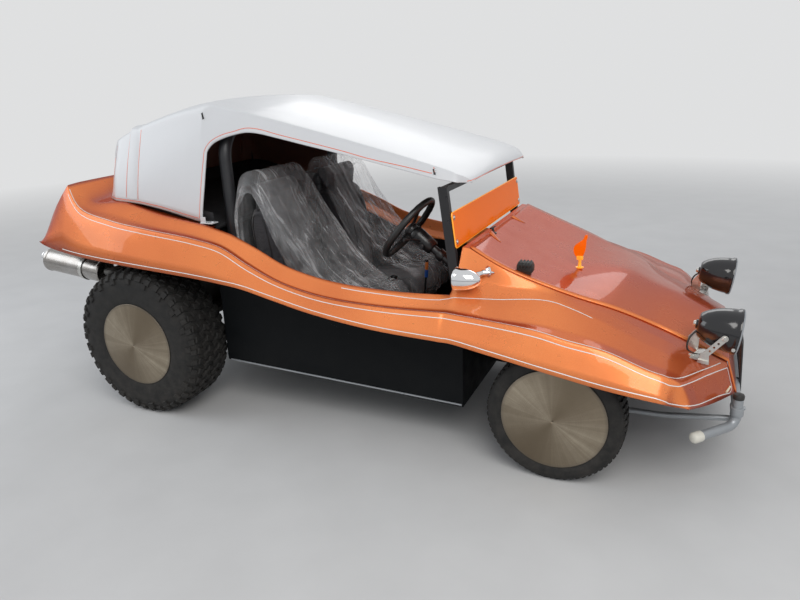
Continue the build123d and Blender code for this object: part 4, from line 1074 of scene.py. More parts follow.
def makeStrapSlots():
    r = roofLines
    parts, rims = [], []
    for path in r["slots"]:
        line = [(cabinX + x, y - 6, z) for x, y, z in path]
        parts.append(paintedLine(hardtopSurface, line, r["slotWidth"], r["slotLift"], step=2.0))
        for away in (-r["rimAway"], r["rimAway"]):
            rim = [(x + away, y, z) for x, y, z in line]
            rims.append(paintedLine(hardtopSurface, rim, r["rimWidth"], r["rimLift"], step=2.0))
    # dark strips in the slots: painted shade
    joinedPiece("strapSlots", parts, "roof_white", "ventDark")
    joinedPiece("slotRims", rims, "roof_white", "gelWhite")


roofFeet = {"plates": [(-668, -596, 588, 634, 961, 966), (-668, -640, 622, 628, 964, 992)], "boltAt": (-612, 611, 965),
            "bolt": [(0.2, 6), (5, 5.4), (6.5, 3.5), (6.6, 0), (0.2, 0)]}


def makeRoofFeet():
    parts = []
    boltX, boltY, boltZ = roofFeet["boltAt"]
    for side in (-1, 1):
        for x0, x1, y0, y1, z0, z1 in roofFeet["plates"]:
            parts.append(blockMesh(cabinX + x0, cabinX + x1, *sorted((side * y0, side * y1)), z0, z1, 1.6))
        parts.append(turned(roofFeet["bolt"], (cabinX + boltX, side * boltY, boltZ), 18, True))
    fixNormals(joinedPiece("roofFeet", parts, "roof_white", "gelWhite", smooth=False))


makeRoofLines()
makeStrapSlots()
makeRoofFeet()

luggage = {"rise": 62.0, "lap": 22.0, "lift": 5.0, "halfFront": 588.0, "halfRear": 560.0, "from": -1180.0, "to": -560.0,
           "across": 25, "thickness": 0.003}


def makeLuggageTrim():
    # black carpet over the deck under the hardtop, turned up along its edges
    rows = []
    for row in bodyGrid[9:lastDeck * bodySkin["sub"] + 1]:
        x, deck = row[-1][0], row[-1][2]
        half = np.interp(x, (-1210, -1000), (luggage["halfRear"], luggage["halfFront"]))
        if not luggage["from"] <= x <= luggage["to"]:
            continue
        line = []
        for y in np.linspace(-half, half, luggage["across"]):
            rail = np.interp(-abs(y), row[:, 1], row[:, 2])
            line.append([x, y, max(rail, deck) + luggage["lift"]])
        line = [[x, -half - 6, line[0][2] + luggage["rise"]]] + line + [[x, half + 6, line[-1][2] + luggage["rise"]]]
        rows.append(line)
    first = [[p[0] - 8, p[1], p[2] + luggage["rise"]] for p in rows[0]]
    lap = [[p[0] + 4.5, p[1], p[2] - luggage["lap"]] for p in rows[-1]]    # down over the deck's front edge
    rows = [first] + rows + [[[p[0] + 4.0, p[1], p[2] + 0.5] for p in rows[-1]], lap]
    verts = inMm(p for row in rows for p in row)
    faces = facingOut(verts, gridFaces(len(rows), len(rows[0])), (len(rows[0]) - 1) * 3 + 12, (0, 0, 1))
    obj = makePiece("luggageTrim", verts, faces, "body", "black_panel", "shelfBlack")
    addSolidify(obj, luggage["thickness"])


makeLuggageTrim()
print("lines, roof band and luggage trim made")

# tyres, treads and moon discs
wheels = {
    "front": {"radius": 275.0, "width": 152.0, "track": 1264.0, "x": frontX, "count": 64, "block": (19, 23, 7.5), "rows": 5,
              "edge": 15, "skew": 0.2, "shoulder": ()},
    "rear": {"radius": 372.0, "width": 264.0, "track": 1356.0, "x": rearX, "count": 42, "block": (34, 36, 12), "rows": 6,
             "edge": 26, "skew": 0.38, "lug": (8, 30, 30, 0.86), "shoulder": ((348, 15, 0.95, 0.0, 1), (327, 5, 1.35, 0.5, 2))},
}    # each shoulder row: radius, inset, lean, phase and the share of the count
crownFall, tyreSteps = 2.5, 96    # the tread's fall from its middle to its edges, and steps around


def makeTreadTree():
    tree = bpy.data.node_groups.new("treadRing", "GeometryNodeTree")
    face = tree.interface
    for label, kind in (("Geometry", "Geometry"), ("Block", "Object"), ("Count", "Int"), ("Radius", "Float"),
                        ("Offset", "Float"), ("Phase", "Float"), ("Skew", "Float"), ("Lean", "Float"), ("Middle", "Vector"),
                        ("Finish", "Material")):
        face.new_socket(label, in_out="INPUT", socket_type="NodeSocket" + kind)
    face.new_socket("Geometry", in_out="OUTPUT", socket_type="NodeSocketGeometry")
    given = tree.nodes.new("NodeGroupInput").outputs

    def node(kind, operation=None, **inputs):
        # a new node with its inputs linked or set, named by label or as at0, at1 and so on; returns its first output
        made = tree.nodes.new(kind)
        if operation:
            made.operation = operation
        for key, value in inputs.items():
            socket = made.inputs[int(key[2:]) if key.startswith("at") else key]
            if isinstance(value, (int, float)):
                socket.default_value = value
            else:
                tree.links.new(value, socket)
        return made.outputs[0]

    share = node("ShaderNodeMath", "DIVIDE", at0=node("GeometryNodeInputIndex"), at1=given["Count"])
    turn = node("ShaderNodeMath", "MULTIPLY_ADD", at0=share, at1=2 * math.pi, at2=given["Phase"])
    wide = node("ShaderNodeMath", "MULTIPLY", at0=node("ShaderNodeMath", "COSINE", at0=turn), at1=given["Radius"])
    high = node("ShaderNodeMath", "MULTIPLY", at0=node("ShaderNodeMath", "SINE", at0=turn), at1=given["Radius"])
    place = node("ShaderNodeCombineXYZ", at0=wide, at1=given["Offset"], at2=high)
    place = node("ShaderNodeVectorMath", at0=place, at1=given["Middle"])
    points = node("GeometryNodeSetPosition", Geometry=node("GeometryNodePoints", Count=given["Count"]), Position=place)
    back = node("ShaderNodeMath", "MULTIPLY", at0=turn, at1=-1.0)    # the block's +X points outwards, turned about Y
    around = node("FunctionNodeEulerToRotation", at0=node("ShaderNodeCombineXYZ", at1=back))
    lean = node("FunctionNodeEulerToRotation", at0=node("ShaderNodeCombineXYZ", at2=given["Lean"]))
    twist = node("FunctionNodeEulerToRotation", at0=node("ShaderNodeCombineXYZ", at0=given["Skew"]))
    for extra in (lean, twist):
        around = node("FunctionNodeRotateRotation", at0=around, at1=extra)
        around.node.rotation_space = "LOCAL"
    info = node("GeometryNodeObjectInfo", Object=given["Block"]).node.outputs["Geometry"]
    blocks = node("GeometryNodeInstanceOnPoints", Points=points, Instance=info, Rotation=around)
    both = node("GeometryNodeJoinGeometry", at0=blocks)
    tree.links.new(given["Geometry"], both.node.inputs[0])
    real = node("GeometryNodeRealizeInstances", at0=both)
    painted = node("GeometryNodeSetMaterial", Geometry=real, Material=given["Finish"])
    tree.links.new(painted, tree.nodes.new("NodeGroupOutput").inputs[0])
    return tree


treadTree = makeTreadTree()


def addRing(obj, **values):
    mod = obj.modifiers.new("ring", "NODES")
    mod.node_group = treadTree
    ids = {item.name: item.identifier for item in treadTree.interface.items_tree if item.in_out == "INPUT"}
    for key, value in values.items():
        mod[ids[key]] = value


def treadBlock(name, depth, width, length, taper=0.8):
    # a tread block: +X outwards, Y across the tyre, Z along the tread; its root sits below the carcass
    bm = bmesh.new()
    outline = [(-0.5, -0.5), (0.5, -0.42), (0.5, 0.5), (0.12, 0.42), (-0.5, 0.46)]
    rings = []
    for x, grow in ((-2.0, 1.0), (depth * 0.55, 0.96), (depth, taper)):
        rings.append([bm.verts.new((x * mm, u * width * grow * mm, v * length * grow * mm)) for u, v in outline])
    for a, b in zip(rings, rings[1:]):
        for k in range(len(outline)):
            m = (k + 1) % len(outline)
            bm.faces.new((a[k], a[m], b[m], b[k]))
    bm.faces.new(rings[-1])
    bm.faces.new(rings[0][::-1])
    bmesh.ops.recalc_face_normals(bm, faces=bm.faces)
    mesh = bpy.data.meshes.new(name)
    bm.to_mesh(mesh)
    bm.free()
    return bpy.data.objects.new(name, mesh)


def tyreProfile(end, spec):
    # closed section of (radius, offset outwards from the tyre's middle)
    r, w = spec["radius"], spec["width"] / 2
    depth = spec["block"][2]
    if end == "rear":
        outer = [(190, w - 10), (200, w - 7), (211, w - 6), (214, w - 5.4), (222, w - 2.5), (240, w - 0.8), (262, w - 0.2),
                 (286, w), (306, w - 1), (324, w - 4.5), (340, w - 10), (352, w - 18), (r - depth + 1, w - 34),
                 (r - depth + 2, w - 60)]
    else:
        outer = [(190, w - 10), (200, w - 7), (211, w - 6), (214, w - 5), (222, w - 2), (234, w - 0.4), (244, w),
                 (252, w - 1.6), (259, w - 5), (r - depth - 1, w - 11), (r - depth, w - 17), (r - depth + 0.5, w - 40)]
    middle = [(r - depth + 2.0, 0)]
    inner = [(184, -(w - 14)), (182, 0), (184, w - 14)]
    return outer + middle + [(a, -b) for a, b in outer[::-1]] + inner


def makeTyre(end, corner, side):
    spec = wheels[end]
    r, w = spec["radius"], spec["width"] / 2
    centre = (spec["x"], side * spec["track"] / 2, r)
    verts, faces = turned(tyreProfile(end, spec), centre, tyreSteps, side=side)
    name = "tyreTread_" + corner
    obj = makePiece(name, verts, faces, None, None, "tyreRubber")
    fixNormals(obj)
    smoothShade(obj)
    length, width, depth = spec["block"]
    blocks = [treadBlock("block_" + name, depth, width, length)]
    common = {"Middle": Vector(centre) * mm, "Finish": palette["tyreRubber"]}
    rows, count = spec["rows"], spec["count"]
    span = 2 * (w - spec["edge"]) - width
    for k in range(rows):
        offset = (-0.5 + k / (rows - 1)) * span
        fall = crownFall * (abs(offset) / (span / 2)) ** 2
        addRing(obj, Block=blocks[0], Count=count, Radius=(r - depth - fall) * mm, Offset=offset * mm,
                Phase=(k % 2) * math.pi / count + 0.13 * k, Skew=spec["skew"] * (1 if k % 2 else -1), Lean=0.0, **common)
    if spec["shoulder"]:
        blocks.append(treadBlock("lug_" + name, *spec["lug"]))
        for s in (-1, 1):
            for radius, inset, lean, phase, share in spec["shoulder"]:
                addRing(obj, Block=blocks[1], Count=count // share, Radius=radius * mm, Offset=s * (w - inset) * mm,
                        Phase=phase * math.pi / count, Skew=0.0, Lean=s * lean, **common)
    bakeModifiers(obj)
    for item in blocks:
        bpy.data.objects.remove(item)
    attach(obj, "wheel_" + corner)
    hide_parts("tyre_" + corner)


# the rolled edge and the back are from the rim's radius and the disc's base, outwards
moon = {"rim": 210.0, "inset": 5.7, "edge": [(-0.2, 0.2), (0, 1.6), (-0.8, 3.0), (-3, 3.4), (-7, 2.4), (-9, 2.6)],
        "crown": 17.4, "power": 2.1, "rings": 18, "steps": 128, "back": [(-30, 2.4), (-10, 0.6), (-4, 0.2)]}


def makeMoonDisc(end, corner, side):
    spec = wheels[end]
    rim, base = moon["rim"], spec["width"] / 2 - moon["inset"]
    profile = [(rim + away, base + out) for away, out in moon["edge"]]
    flat, low = profile[-1]
    for share in 1 - np.arange(1, moon["rings"] + 1) / moon["rings"]:
        profile.append((max(flat * share, 0.3), low + moon["crown"] * (1 - share ** moon["power"])))
    profile += [(0.3, base + 18.0)] + [(rim + away, base + out) for away, out in moon["back"]]
    centre = (spec["x"], side * spec["track"] / 2, spec["radius"])
    verts, faces = turned(profile, centre, moon["steps"], side=side)
    uvs = [(0.5 + (v[0] / mm - centre[0]) / (2 * rim), 0.5 + (v[2] / mm - centre[2]) / (2 * rim)) for v in verts]
    obj = makePiece("moonDisc_" + corner, verts, faces, "wheel_" + corner, "disc", "spunDisc", ("disc_" + corner,), uvs=uvs)
    reshape(obj, lambda bm: bmesh.ops.recalc_face_normals(bm, faces=bm.faces))


for wheelEnd in ("front", "rear"):
    for wheelWord, wheelSide in (("right", -1), ("left", 1)):
        for maker in (makeTyre, makeMoonDisc):
            maker(wheelEnd, wheelEnd + "_" + wheelWord, wheelSide)
print("wheels made")

# seats: inflated pads, piping and loose polythene covers
seat = {
    "centre": 310.0, "voxel": 0.0065, "quickVoxel": 0.010, "pressure": 4.0, "frames": 20, "cap": 0.014,
    "cushion": [(-322, 402), (-322, 462), (-180, 474), (50, 508), (92, 496), (108, 460), (98, 408)],
    "cushionSide": [(-314, 406), (-312, 484), (-180, 496), (40, 530), (78, 518), (90, 470), (78, 410)],
    "back": [(-342, 462), (-338, 520), (-356, 700), (-392, 900), (-412, 1000), (-432, 1016), (-482, 1012), (-490, 960),
             (-474, 700), (-452, 480), (-430, 452)],
    "backSide": [(-336, 486), (-334, 520), (-340, 640), (-366, 860), (-396, 976), (-424, 1004), (-470, 998), (-484, 940),
                 (-468, 700), (-450, 500)],
    "neck": [(-412, 985), (-420, 1060), (-484, 1060), (-486, 985)],
    # what each pad is made of: outline, from, to and bevel
    "cushionParts": [("cushion", -186, 186, 16), ("cushionSide", -212, -142, 20), ("cushionSide", 142, 212, 20)],
    "backParts": [("back", -178, 178, 14), ("backSide", -202, -138, 20), ("backSide", 138, 202, 20), ("neck", -148, 148, 10)],
    "frontCord": [(-276, 500), (-296, 700), (-332, 900), (-350, 985)], "topCord": [(-300, 534), (-180, 538), (50, 572), (84, 560)],
    "rib": [(-258, 520), (-276, 700), (-312, 900), (-326, 980)], "ribPitch": 62.0,
    "plinth": {"x": (-322, 88), "half": 178.0, "z": (300, 404)},
    "rail": {"x": (-322, 100), "out": 150.0, "half": 14.0, "z": (262, 304)},
    "roll": {"x": -449.0, "z": 1090.0, "long": 58.0, "wide": 38.0, "half": 172.0, "lean": 10.0},
}


def seatPrism(outline, y0, y1, bevel):
    return plateMesh(outline, y1 - y0, lambda u, v, w: Vector((cabinX + u, y0 + w, v)) * mm, bevel)


def rollOutline(grow=0.0, steps=18):
    r = seat["roll"]
    lean = math.radians(r["lean"])
    out = []
    for a in turns(steps):
        u, v = (r["wide"] + grow) * math.cos(a), (r["long"] + grow) * math.sin(a)
        out.append((r["x"] + u * math.cos(lean) - v * math.sin(lean), r["z"] + u * math.sin(lean) + v * math.cos(lean)))
    return out


def inflated(name, parts):
    # a padded shape: one skin around the parts, swollen by a short cloth simulation
    obj = joinedPiece(name, parts, "seat_cloth", "seatCloth")
    skin = obj.modifiers.new("skin", "REMESH")
    skin.mode = "VOXEL"
    skin.voxel_size = seat["voxel"]
    soften = obj.modifiers.new("soften", "SMOOTH")
    soften.factor, soften.iterations = 0.5, 5
    bakeModifiers(obj)
    before = np.array([v.co[:] for v in obj.data.vertices])
    cloth = obj.modifiers.new("cloth", "CLOTH")
    cloth.settings.use_pressure = True
    cloth.settings.uniform_pressure_force = seat["pressure"]
    cloth.settings.effector_weights.gravity = 0
    cloth.settings.quality = 4
    for number in range(1, seat["frames"] + 1):
        bpy.context.scene.frame_set(number)
    bakeModifiers(obj)
    after = np.array([v.co[:] for v in obj.data.vertices])
    move = after - before
    length = np.linalg.norm(move, axis=1)[:, None]
    after = before + move * np.minimum(1.0, seat["cap"] / np.maximum(length, 1e-9))    # no point moves past the cap
    obj.data.vertices.foreach_set("co", after.ravel())
    bpy.context.scene.frame_set(1)
    smoothShade(obj)
    obj.data.update()
    return obj


def shiftedCopy(obj, name, dy):
    mesh = obj.data.copy()
    mesh.transform(Matrix.Translation((0, dy * mm, 0)))
    other = bpy.data.objects.new(name, mesh)
    bpy.context.scene.collection.objects.link(other)
    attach(other, "body")
    return other


def pipingOn(tree, path, radius, closed=False):
    pts, nrm = laidOn(tree, evenly(path, 9.0))
    line = pts + nrm * (radius * 0.3)
    for _ in range(3):
        line[1:-1] = (line[:-2] + 2 * line[1:-1] + line[2:]) / 4
    return tubeAlong(inMm(line), radius * mm, 8, not closed)


def makeSeats():
    y = -seat["centre"]
    r = seat["roll"]
    cushion, back = ([seatPrism(seat[key], y + a, y + b, bevel) for key, a, b, bevel in seat[kind + "Parts"]]
                     for kind in ("cushion", "back"))
    back.append(seatPrism(rollOutline(-6), y - r["half"] + 8, y + r["half"] - 8, 9))
    cushion, back = inflated("seatCushion_right", cushion), inflated("seatBack_right", back)
    cushionTree, backTree = surfaceOf(cushion), surfaceOf(back)
    seam = smoothLine([(a, 0, b) for a, b in seat["backSide"]], 4)
    edge = smoothLine([(a, 0, b) for a, b in seat["cushionSide"][1:6]], 4)
    cord = []
    for s in (-1, 1):
        # each cord: the pad it lies on, its places (x from the cabin's middle, z), how far out, its radius and if it is closed
        roll, side = y + s * (r["half"] + 20), y + s * 240
        ring = rollOutline(4, 40)
        for tree, places, across, radius, closed in (
                (backTree, ring + ring[:1], roll, 3.2, True),
                (backTree, [(p[0], p[2]) for p in seam] + [(seam[0][0], seam[0][2])], side, 2.8, True),
                (backTree, seat["frontCord"], y + s * 132, 2.4, False),
                (cushionTree, [(p[0], p[2]) for p in edge], side, 2.8, False),
                (cushionTree, seat["topCord"], y + s * 138, 2.4, False)):
            cord.append(pipingOn(tree, [(cabinX + x, across, z) for x, z in places], radius, closed))
    for k in (-1, 0, 1):
        line = [(cabinX + x, y + k * seat["ribPitch"], z) for x, z in seat["rib"]]
        cord.append(pipingOn(backTree, line, 1.6))
    piping = joinedPiece("seatPiping_right", cord, "seat_cloth", "pipingBlack")
    fixNormals(piping)
    for kind, obj, node in (("Cushion", cushion, "seat_base"), ("Back", back, "seat_back"), ("Piping", piping, None)):
        left = shiftedCopy(obj, "seat" + kind + "_left", 2 * seat["centre"])
        if node:
            for word, piece in (("right", obj), ("left", left)):
                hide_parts(node + "_" + word)
    plinths = []
    for middle in (-seat["centre"], seat["centre"]):
        for spec, out, bevel in (("plinth", 0, (12, 3)), ("rail", -1, (3,)), ("rail", 1, (3,))):
            (x0, x1), half, (z0, z1) = (seat[spec][key] for key in ("x", "half", "z"))
            at = middle + out * seat["rail"]["out"]
            plinths.append(blockMesh(cabinX + x0, cabinX + x1, at - half, at + half, z0, z1, *bevel))
    joinedPiece("seatPlinths", plinths, "black_panel", "shelfBlack", smooth=False)


film = {
    "across": 121, "step": 11.0, "cut": (0.68, 1.46),    # points across, mm from row to row, and the sheet as cut in metres
    "fold": 26.0, "hang": 0.96, "flare": {"cushion": 0.24, "back": 0.12},    # past the seat's edge: fold radius, fall, spread
    "path": [(-512, 760), (-522, 960), (-518, 1110), (-488, 1172), (-440, 1180), (-396, 1132), (-332, 1010), (-226, 850),
             (-100, 690), (20, 604), (112, 566), (140, 505), (146, 430)],
    "half": [(-520, 190), (-440, 196), (-340, 214), (-240, 222), (-90, 232), (140, 236)],
    "reach": [(-520, 372), (-440, 300), (-340, 330), (-226, 366), (-90, 372), (140, 366)],
}


def makeFilm(word, side):
    # loose polythene thrown over one seat, with long pulls down the back and crumples where it gathers
    line = evenly(smoothLine([(x, 0, z) for x, z in film["path"]], 8), film["step"])
    n, m = len(line), film["across"]
    way = np.gradient(line, axis=0)
    out = np.cross(way, [0, 1, 0])
    out /= np.linalg.norm(out, axis=1)[:, None]
    if out[n // 2][2] < 0:
        out = -out
    turnX, turnHalf = zip(*film["half"])
    reachX, reach = zip(*film["reach"])
    middle = side * seat["centre"]
    rows, flat = [], []
    for i, (x, _, z) in enumerate(line):
        half, far = np.interp(x, turnX, turnHalf), np.interp(x, reachX, reach)
        row = []
        for j in range(m):
            s = (-1 + 2 * j / (m - 1)) * far
            past = max(abs(s) - half, 0.0)
            soft = past * past / (past + film["fold"])
            spread = film["flare"]["cushion" if x > -200 else "back"]
            place = np.array([x, math.copysign(abs(s) - soft + spread * soft, s), z - soft * film["hang"]])
            pull = noise.noise(Vector((i * 0.035, s * 0.030, 3.1 + side)))
            pull += 0.6 * noise.noise(Vector((i * 0.05, s * 0.075, 7.7 + side)))
            crumple = noise.noise(Vector((x * 0.018, s * 0.020, z * 0.018 + side)))
            crumple += 0.5 * noise.noise(Vector((x * 0.045, s * 0.05, z * 0.045)))
            loose = np.interp(x, (-330, -60), (0.15, 1.0))
            push = out[i] if soft < 8 else out[i] * 0.5 + np.array([0, math.copysign(0.85, s), 0.2])
            amount = (6.0 + soft * 0.08) * pull + 11.0 * loose * crumple + 6.0
            row.append((place + push * amount + np.array([cabinX, middle, 0])) * mm)
            flat.append((s * mm, i * film["step"] * mm))
        rows.append(row)
    verts = [Vector(p) for row in rows for p in row]
    faces = facingOut(verts, gridFaces(n, m), (m - 1) * (n // 2) + m // 2, (0, 0, 1))
    obj = makePiece("seatFilm_" + word, verts, faces, "body", "seat_cloth", "clearFilm", uvs=flat)
    rounder = obj.modifiers.new("round", "SUBSURF")
    rounder.levels = rounder.render_levels = 1
    bakeModifiers(obj)
    smoothShade(obj)


makeSeats()
print("seats made")
for filmWord, filmSide in (("right", -1), ("left", 1)):
    makeFilm(filmWord, filmSide)
print("seat covers made")

# small hardware
def spun(profile, centre, axis, steps=48):
    # a profile of (radius, distance along the axis) in mm turned about any axis
    ahead = Vector(axis).normalized()
    side = Vector((0, 1, 0)) if abs(ahead.y) < 0.9 else Vector((1, 0, 0))
    side = (side - ahead * side.dot(ahead)).normalized()
    other = ahead.cross(side)
    verts = []
    for a in turns(steps):
        around = side * math.cos(a) + other * math.sin(a)
        verts += [(Vector(centre) + ahead * d + around * r) * mm for r, d in profile]
    return verts, gridFaces(steps, len(profile), wrapRows=True, wrapCols=True)


def bar(points, radius, radii=None, steps=16, arc=9):
    # a round bar through points in mm, each inner corner bent over its radius
    line = roundedRow(points, radii or [0] * len(points), arc=arc, run=3)[0]
    keep = [line[0]] + [b for a, b in zip(line, line[1:]) if np.linalg.norm(b - a) > 0.2]
    return tubeAlong(inMm(keep), radius * mm, steps)


def rod(points, radius, steps=16, sub=6):
    # a smooth rod through points in mm, its radius one value or a first and a last one
    line = smoothLine(points, sub)
    radii = [r * mm for r in np.linspace(*radius, len(line))] if isinstance(radius, tuple) else radius * mm
    return tubeAlong(inMm(line), radii, steps)


def pairOf(parts):
    return list(parts) + [mirrored(p) for p in parts]


def hardware(name, parts, slot, finish, replaced=(), body="body", smooth=True):
    obj = joinedPiece(name, parts, slot, finish, body, replaced=replaced, smooth=smooth)
    fixNormals(obj)
    if smooth:
        keepEdges(obj)
    return obj


def keepEdges(obj, angle=38.0):
    # smooth shading with the sharp corners kept
    def change(bm):
        for edge in bm.edges:
            edge.smooth = len(edge.link_faces) == 2 and edge.calc_face_angle(3.2) < math.radians(angle)

    reshape(obj, change)
    smoothShade(obj)


lamps = {
    "centre": (1693.0, -395.0, 607.0), "tip": 7.0,
    "shell": [(79, 4), (82, -4), (86, -6), (90, -2), (90.5, 6), (87.5, 11), (86, 16), (86, 26), (83, 44), (79, 66), (72, 92),
              (60, 118), (48, 136), (40, 142), (18, 144), (17, 150), (10, 151), (0.3, 151), (0.3, 138), (46, 132), (70, 88),
              (78, 40)],
    "rim": [(80.5, -5.5), (84, -8.5), (88, -7), (90.6, -2.5), (88, -3.2), (84, -4.6)],
    "lens": [(0.3, -15), (24, -14.2), (48, -11.4), (66, -7), (78, -1.5), (81.5, 1), (81, 4), (60, -2), (0.3, -9)],
    "mirror": [(0.3, 74), (20, 70), (42, 54), (60, 32), (74, 9), (76, 5), (77.5, 9), (62, 36), (42, 60), (20, 76), (0.3, 80)],
    "bulb": [(0.3, 26), (6, 28), (9, 36), (8, 46), (6, 54), (6, 72), (0.3, 73)],
    "cable": [(1560, -411, 610), (1532, -432, 596), (1516, -446, 548), (1535, -440, 516), (1570, -432, 512)],
    "cableRadius": 0.0036,
}


def makeLamps():
    tip = math.radians(lamps["tip"])
    back = (-math.cos(tip), 0, math.sin(tip))
    for key, finish, slot, replaced in (
            ("shell", "lampGloss", "lamp_black", ("headlamps",)), ("rim", "barGrey", "lamp_black", ()),
            ("lens", "lampLens", "bright", ()), ("mirror", "reflectorBright", "bright", ()), ("bulb", "lampLens", "bright", ())):
        parts = pairOf([spun(lamps[key], lamps["centre"], back, 64)])
        hardware("lamp" + key.capitalize() + "s", parts, slot, finish, replaced)
    x, y, z = lamps["centre"]
    small = [spun([(0.3, 0), (6.5, 0), (7, 1.5), (7, 5), (0.3, 5.5)], (x - 14, y - 86, z - 42), (0, -1, 0.1), 18)]
    small.append(spun([(0.3, 0), (11, 0), (12, 2), (12, 10), (9, 16), (0.3, 17)], (x - 142, y, z + 18), back, 20))
    hardware("lampScrews", pairOf(small), "bright", "zincSteel")
    for word, side in (("right", 1), ("left", -1)):
        curve = bpy.data.curves.new("lampCable_" + word, "CURVE")
        curve.dimensions = "3D"
        spline = curve.splines.new("NURBS")
        places = [(px * mm, side * py * mm, pz * mm) for px, py, pz in lamps["cable"]]
        spline.points.add(len(places) - 1)
        for point, place in zip(spline.points, places):
            point.co = (*place, 1)
        spline.order_u = 3
        spline.use_endpoint_u = True
        plain = bpy.data.objects.new("cableLine", curve)    # the bare curve, its points read into line
        line = [v.co for v in bpy.data.meshes.new_from_object(plain).vertices]
        bpy.data.objects.remove(plain)
        curve.bevel_depth = lamps["cableRadius"]
        curve.bevel_resolution = 3
        curve.use_fill_caps = True
        cable = bpy.data.objects.new("lampCable_" + word, curve)
        bpy.context.scene.collection.objects.link(cable)
        curve.materials.append(palette["softRubber"])
        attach(cable, "body")


brackets = {
    "strip": [(1646, 607), (1584, 532)], "wide": 12.0, "sheet": 3.0, "stripY": -486.0,
    "footZ": 512.0, "holes": (0.30, 0.52, 0.74), "hole": 4.2, "fall": 0.13,
    "foot": [(1518, -489), (1518, -366), (1560, -352), (1602, -372), (1602, -489)],
    "ear": [(1560, 500), (1602, 494), (1600, 530), (1590, 546), (1570, 538)],
    "gusset": [(0, 0), (0, 58), (26, 92), (40, 92), (40, 0)],
    "bolts": [(1536, -468), (1582, -468), (1540, -380)],
}


def drill(obj, cutters):
    # cuts the cutter meshes out of obj
    verts, faces = joinParts(cutters)
    mesh = bpy.data.meshes.new("cutter")
    mesh.from_pydata([tuple(v) for v in verts], [], faces)
    tool = bpy.data.objects.new("cutter", mesh)
    bpy.context.scene.collection.objects.link(tool)
    fixNormals(tool)
    cut = obj.modifiers.new("cut", "BOOLEAN")
    cut.operation = "DIFFERENCE"
    cut.solver = "EXACT"
    cut.object = tool
    bakeModifiers(obj)
    bpy.data.objects.remove(tool)


def makeBrackets():
    b = brackets
    (x0, z0), (x1, z1) = b["strip"]
    way = np.array([x1 - x0, z1 - z0]) / math.hypot(x1 - x0, z1 - z0)
    over = np.array([-way[1], way[0]])
    outline = []
    for k in range(9):
        a = math.pi * (k / 8 + 0.5)
        outline.append(np.array([x0, z0]) + b["wide"] * (math.cos(a) * way + math.sin(a) * over))
    outline += [np.array([x1, z1]) - b["wide"] * over, np.array([x1, z1]) + b["wide"] * over]
    plate = plateMesh(outline, b["sheet"], lambda u, v, w: Vector((u, b["stripY"] + w, v)) * mm)
    obj = hardware("lampStrips", pairOf([plate]), "bracket_steel", "zincSteel", ("lamp_brackets",))
    holes = []
    for share in b["holes"]:
        x, z = x0 + (x1 - x0) * share, z0 + (z1 - z0) * share
        hole = tubeAlong(inMm([(x, b["stripY"] - 10, z), (x, b["stripY"] + 14, z)]), b["hole"] * mm, 20)
        holes += [hole, mirrored(hole)]
    drill(obj, holes)
    keepEdges(obj)
    parts = [spun([(0.3, 9), (7, 8.6), (9.5, 6), (10, 4), (10, 0), (0.3, 0)], (x0, b["stripY"], z0), (0, -1, 0), 6),
             spun([(0.3, 0), (13, 0), (13, 1.6), (0.3, 1.6)], (x0, b["stripY"] - 0.2, z0), (0, -1, 0), 24)]
    parts.append(bar([(x0, b["stripY"], z0), (x0, b["stripY"] + 30, z0)], 5.5))
    z = b["footZ"]

    def foot(x, y, lift):
        # a place on the foot plate, which falls towards the front
        return Vector((x, y, z + lift - b["fall"] * (x - 1560)))

    parts.append(plateMesh(b["foot"], 3.2, lambda u, v, w: foot(u, v, w) * mm))
    parts.append(plateMesh(b["ear"], 3.2, lambda u, v, w: Vector((u, b["stripY"] + 3 + w, v)) * mm))
    parts.append(plateMesh(b["gusset"], 3.0, lambda u, v, w: Vector((1522 + u, -400 + w, z + 2 + v)) * mm))
    for x, y in b["bolts"]:
        parts.append(spun([(0.3, 8), (6, 7.6), (8, 6), (8, 0), (0.3, 0)], foot(x, y, 3), (0.1, 0, 1), 6))
    hardware("lampFeet", pairOf(parts), "bracket_steel", "zincSteel", smooth=False)


bumper = {
    "x": 1721.0, "z": 304.0, "half": 450.0, "radius": 19.0,
    "side": [(1579, -608, 245), (1721, -450, 245), (1721, -450, 370)],
    "stay": [(1721, -400, 247), (1456, -400, 216), (1218, -400, 215)], "drop": [(1721, -400, 243), (1721, -400, 300)],
    "cap": [(20.5, -30), (21.5, -26), (21.5, 2), (20, 8), (15, 13), (8, 15.5), (0.3, 16), (0.3, -8), (19.4, -10), (19.4, -29)],
    "plug": [(20, -14), (20.8, -12), (20.8, 0), (18, 5), (9, 8), (0.3, 9), (0.3, -6), (19.3, -8)],
    "collar": [(19.2, -18), (23.5, -17), (24, -15), (24, 15), (23.5, 17), (19.2, 18)],
}


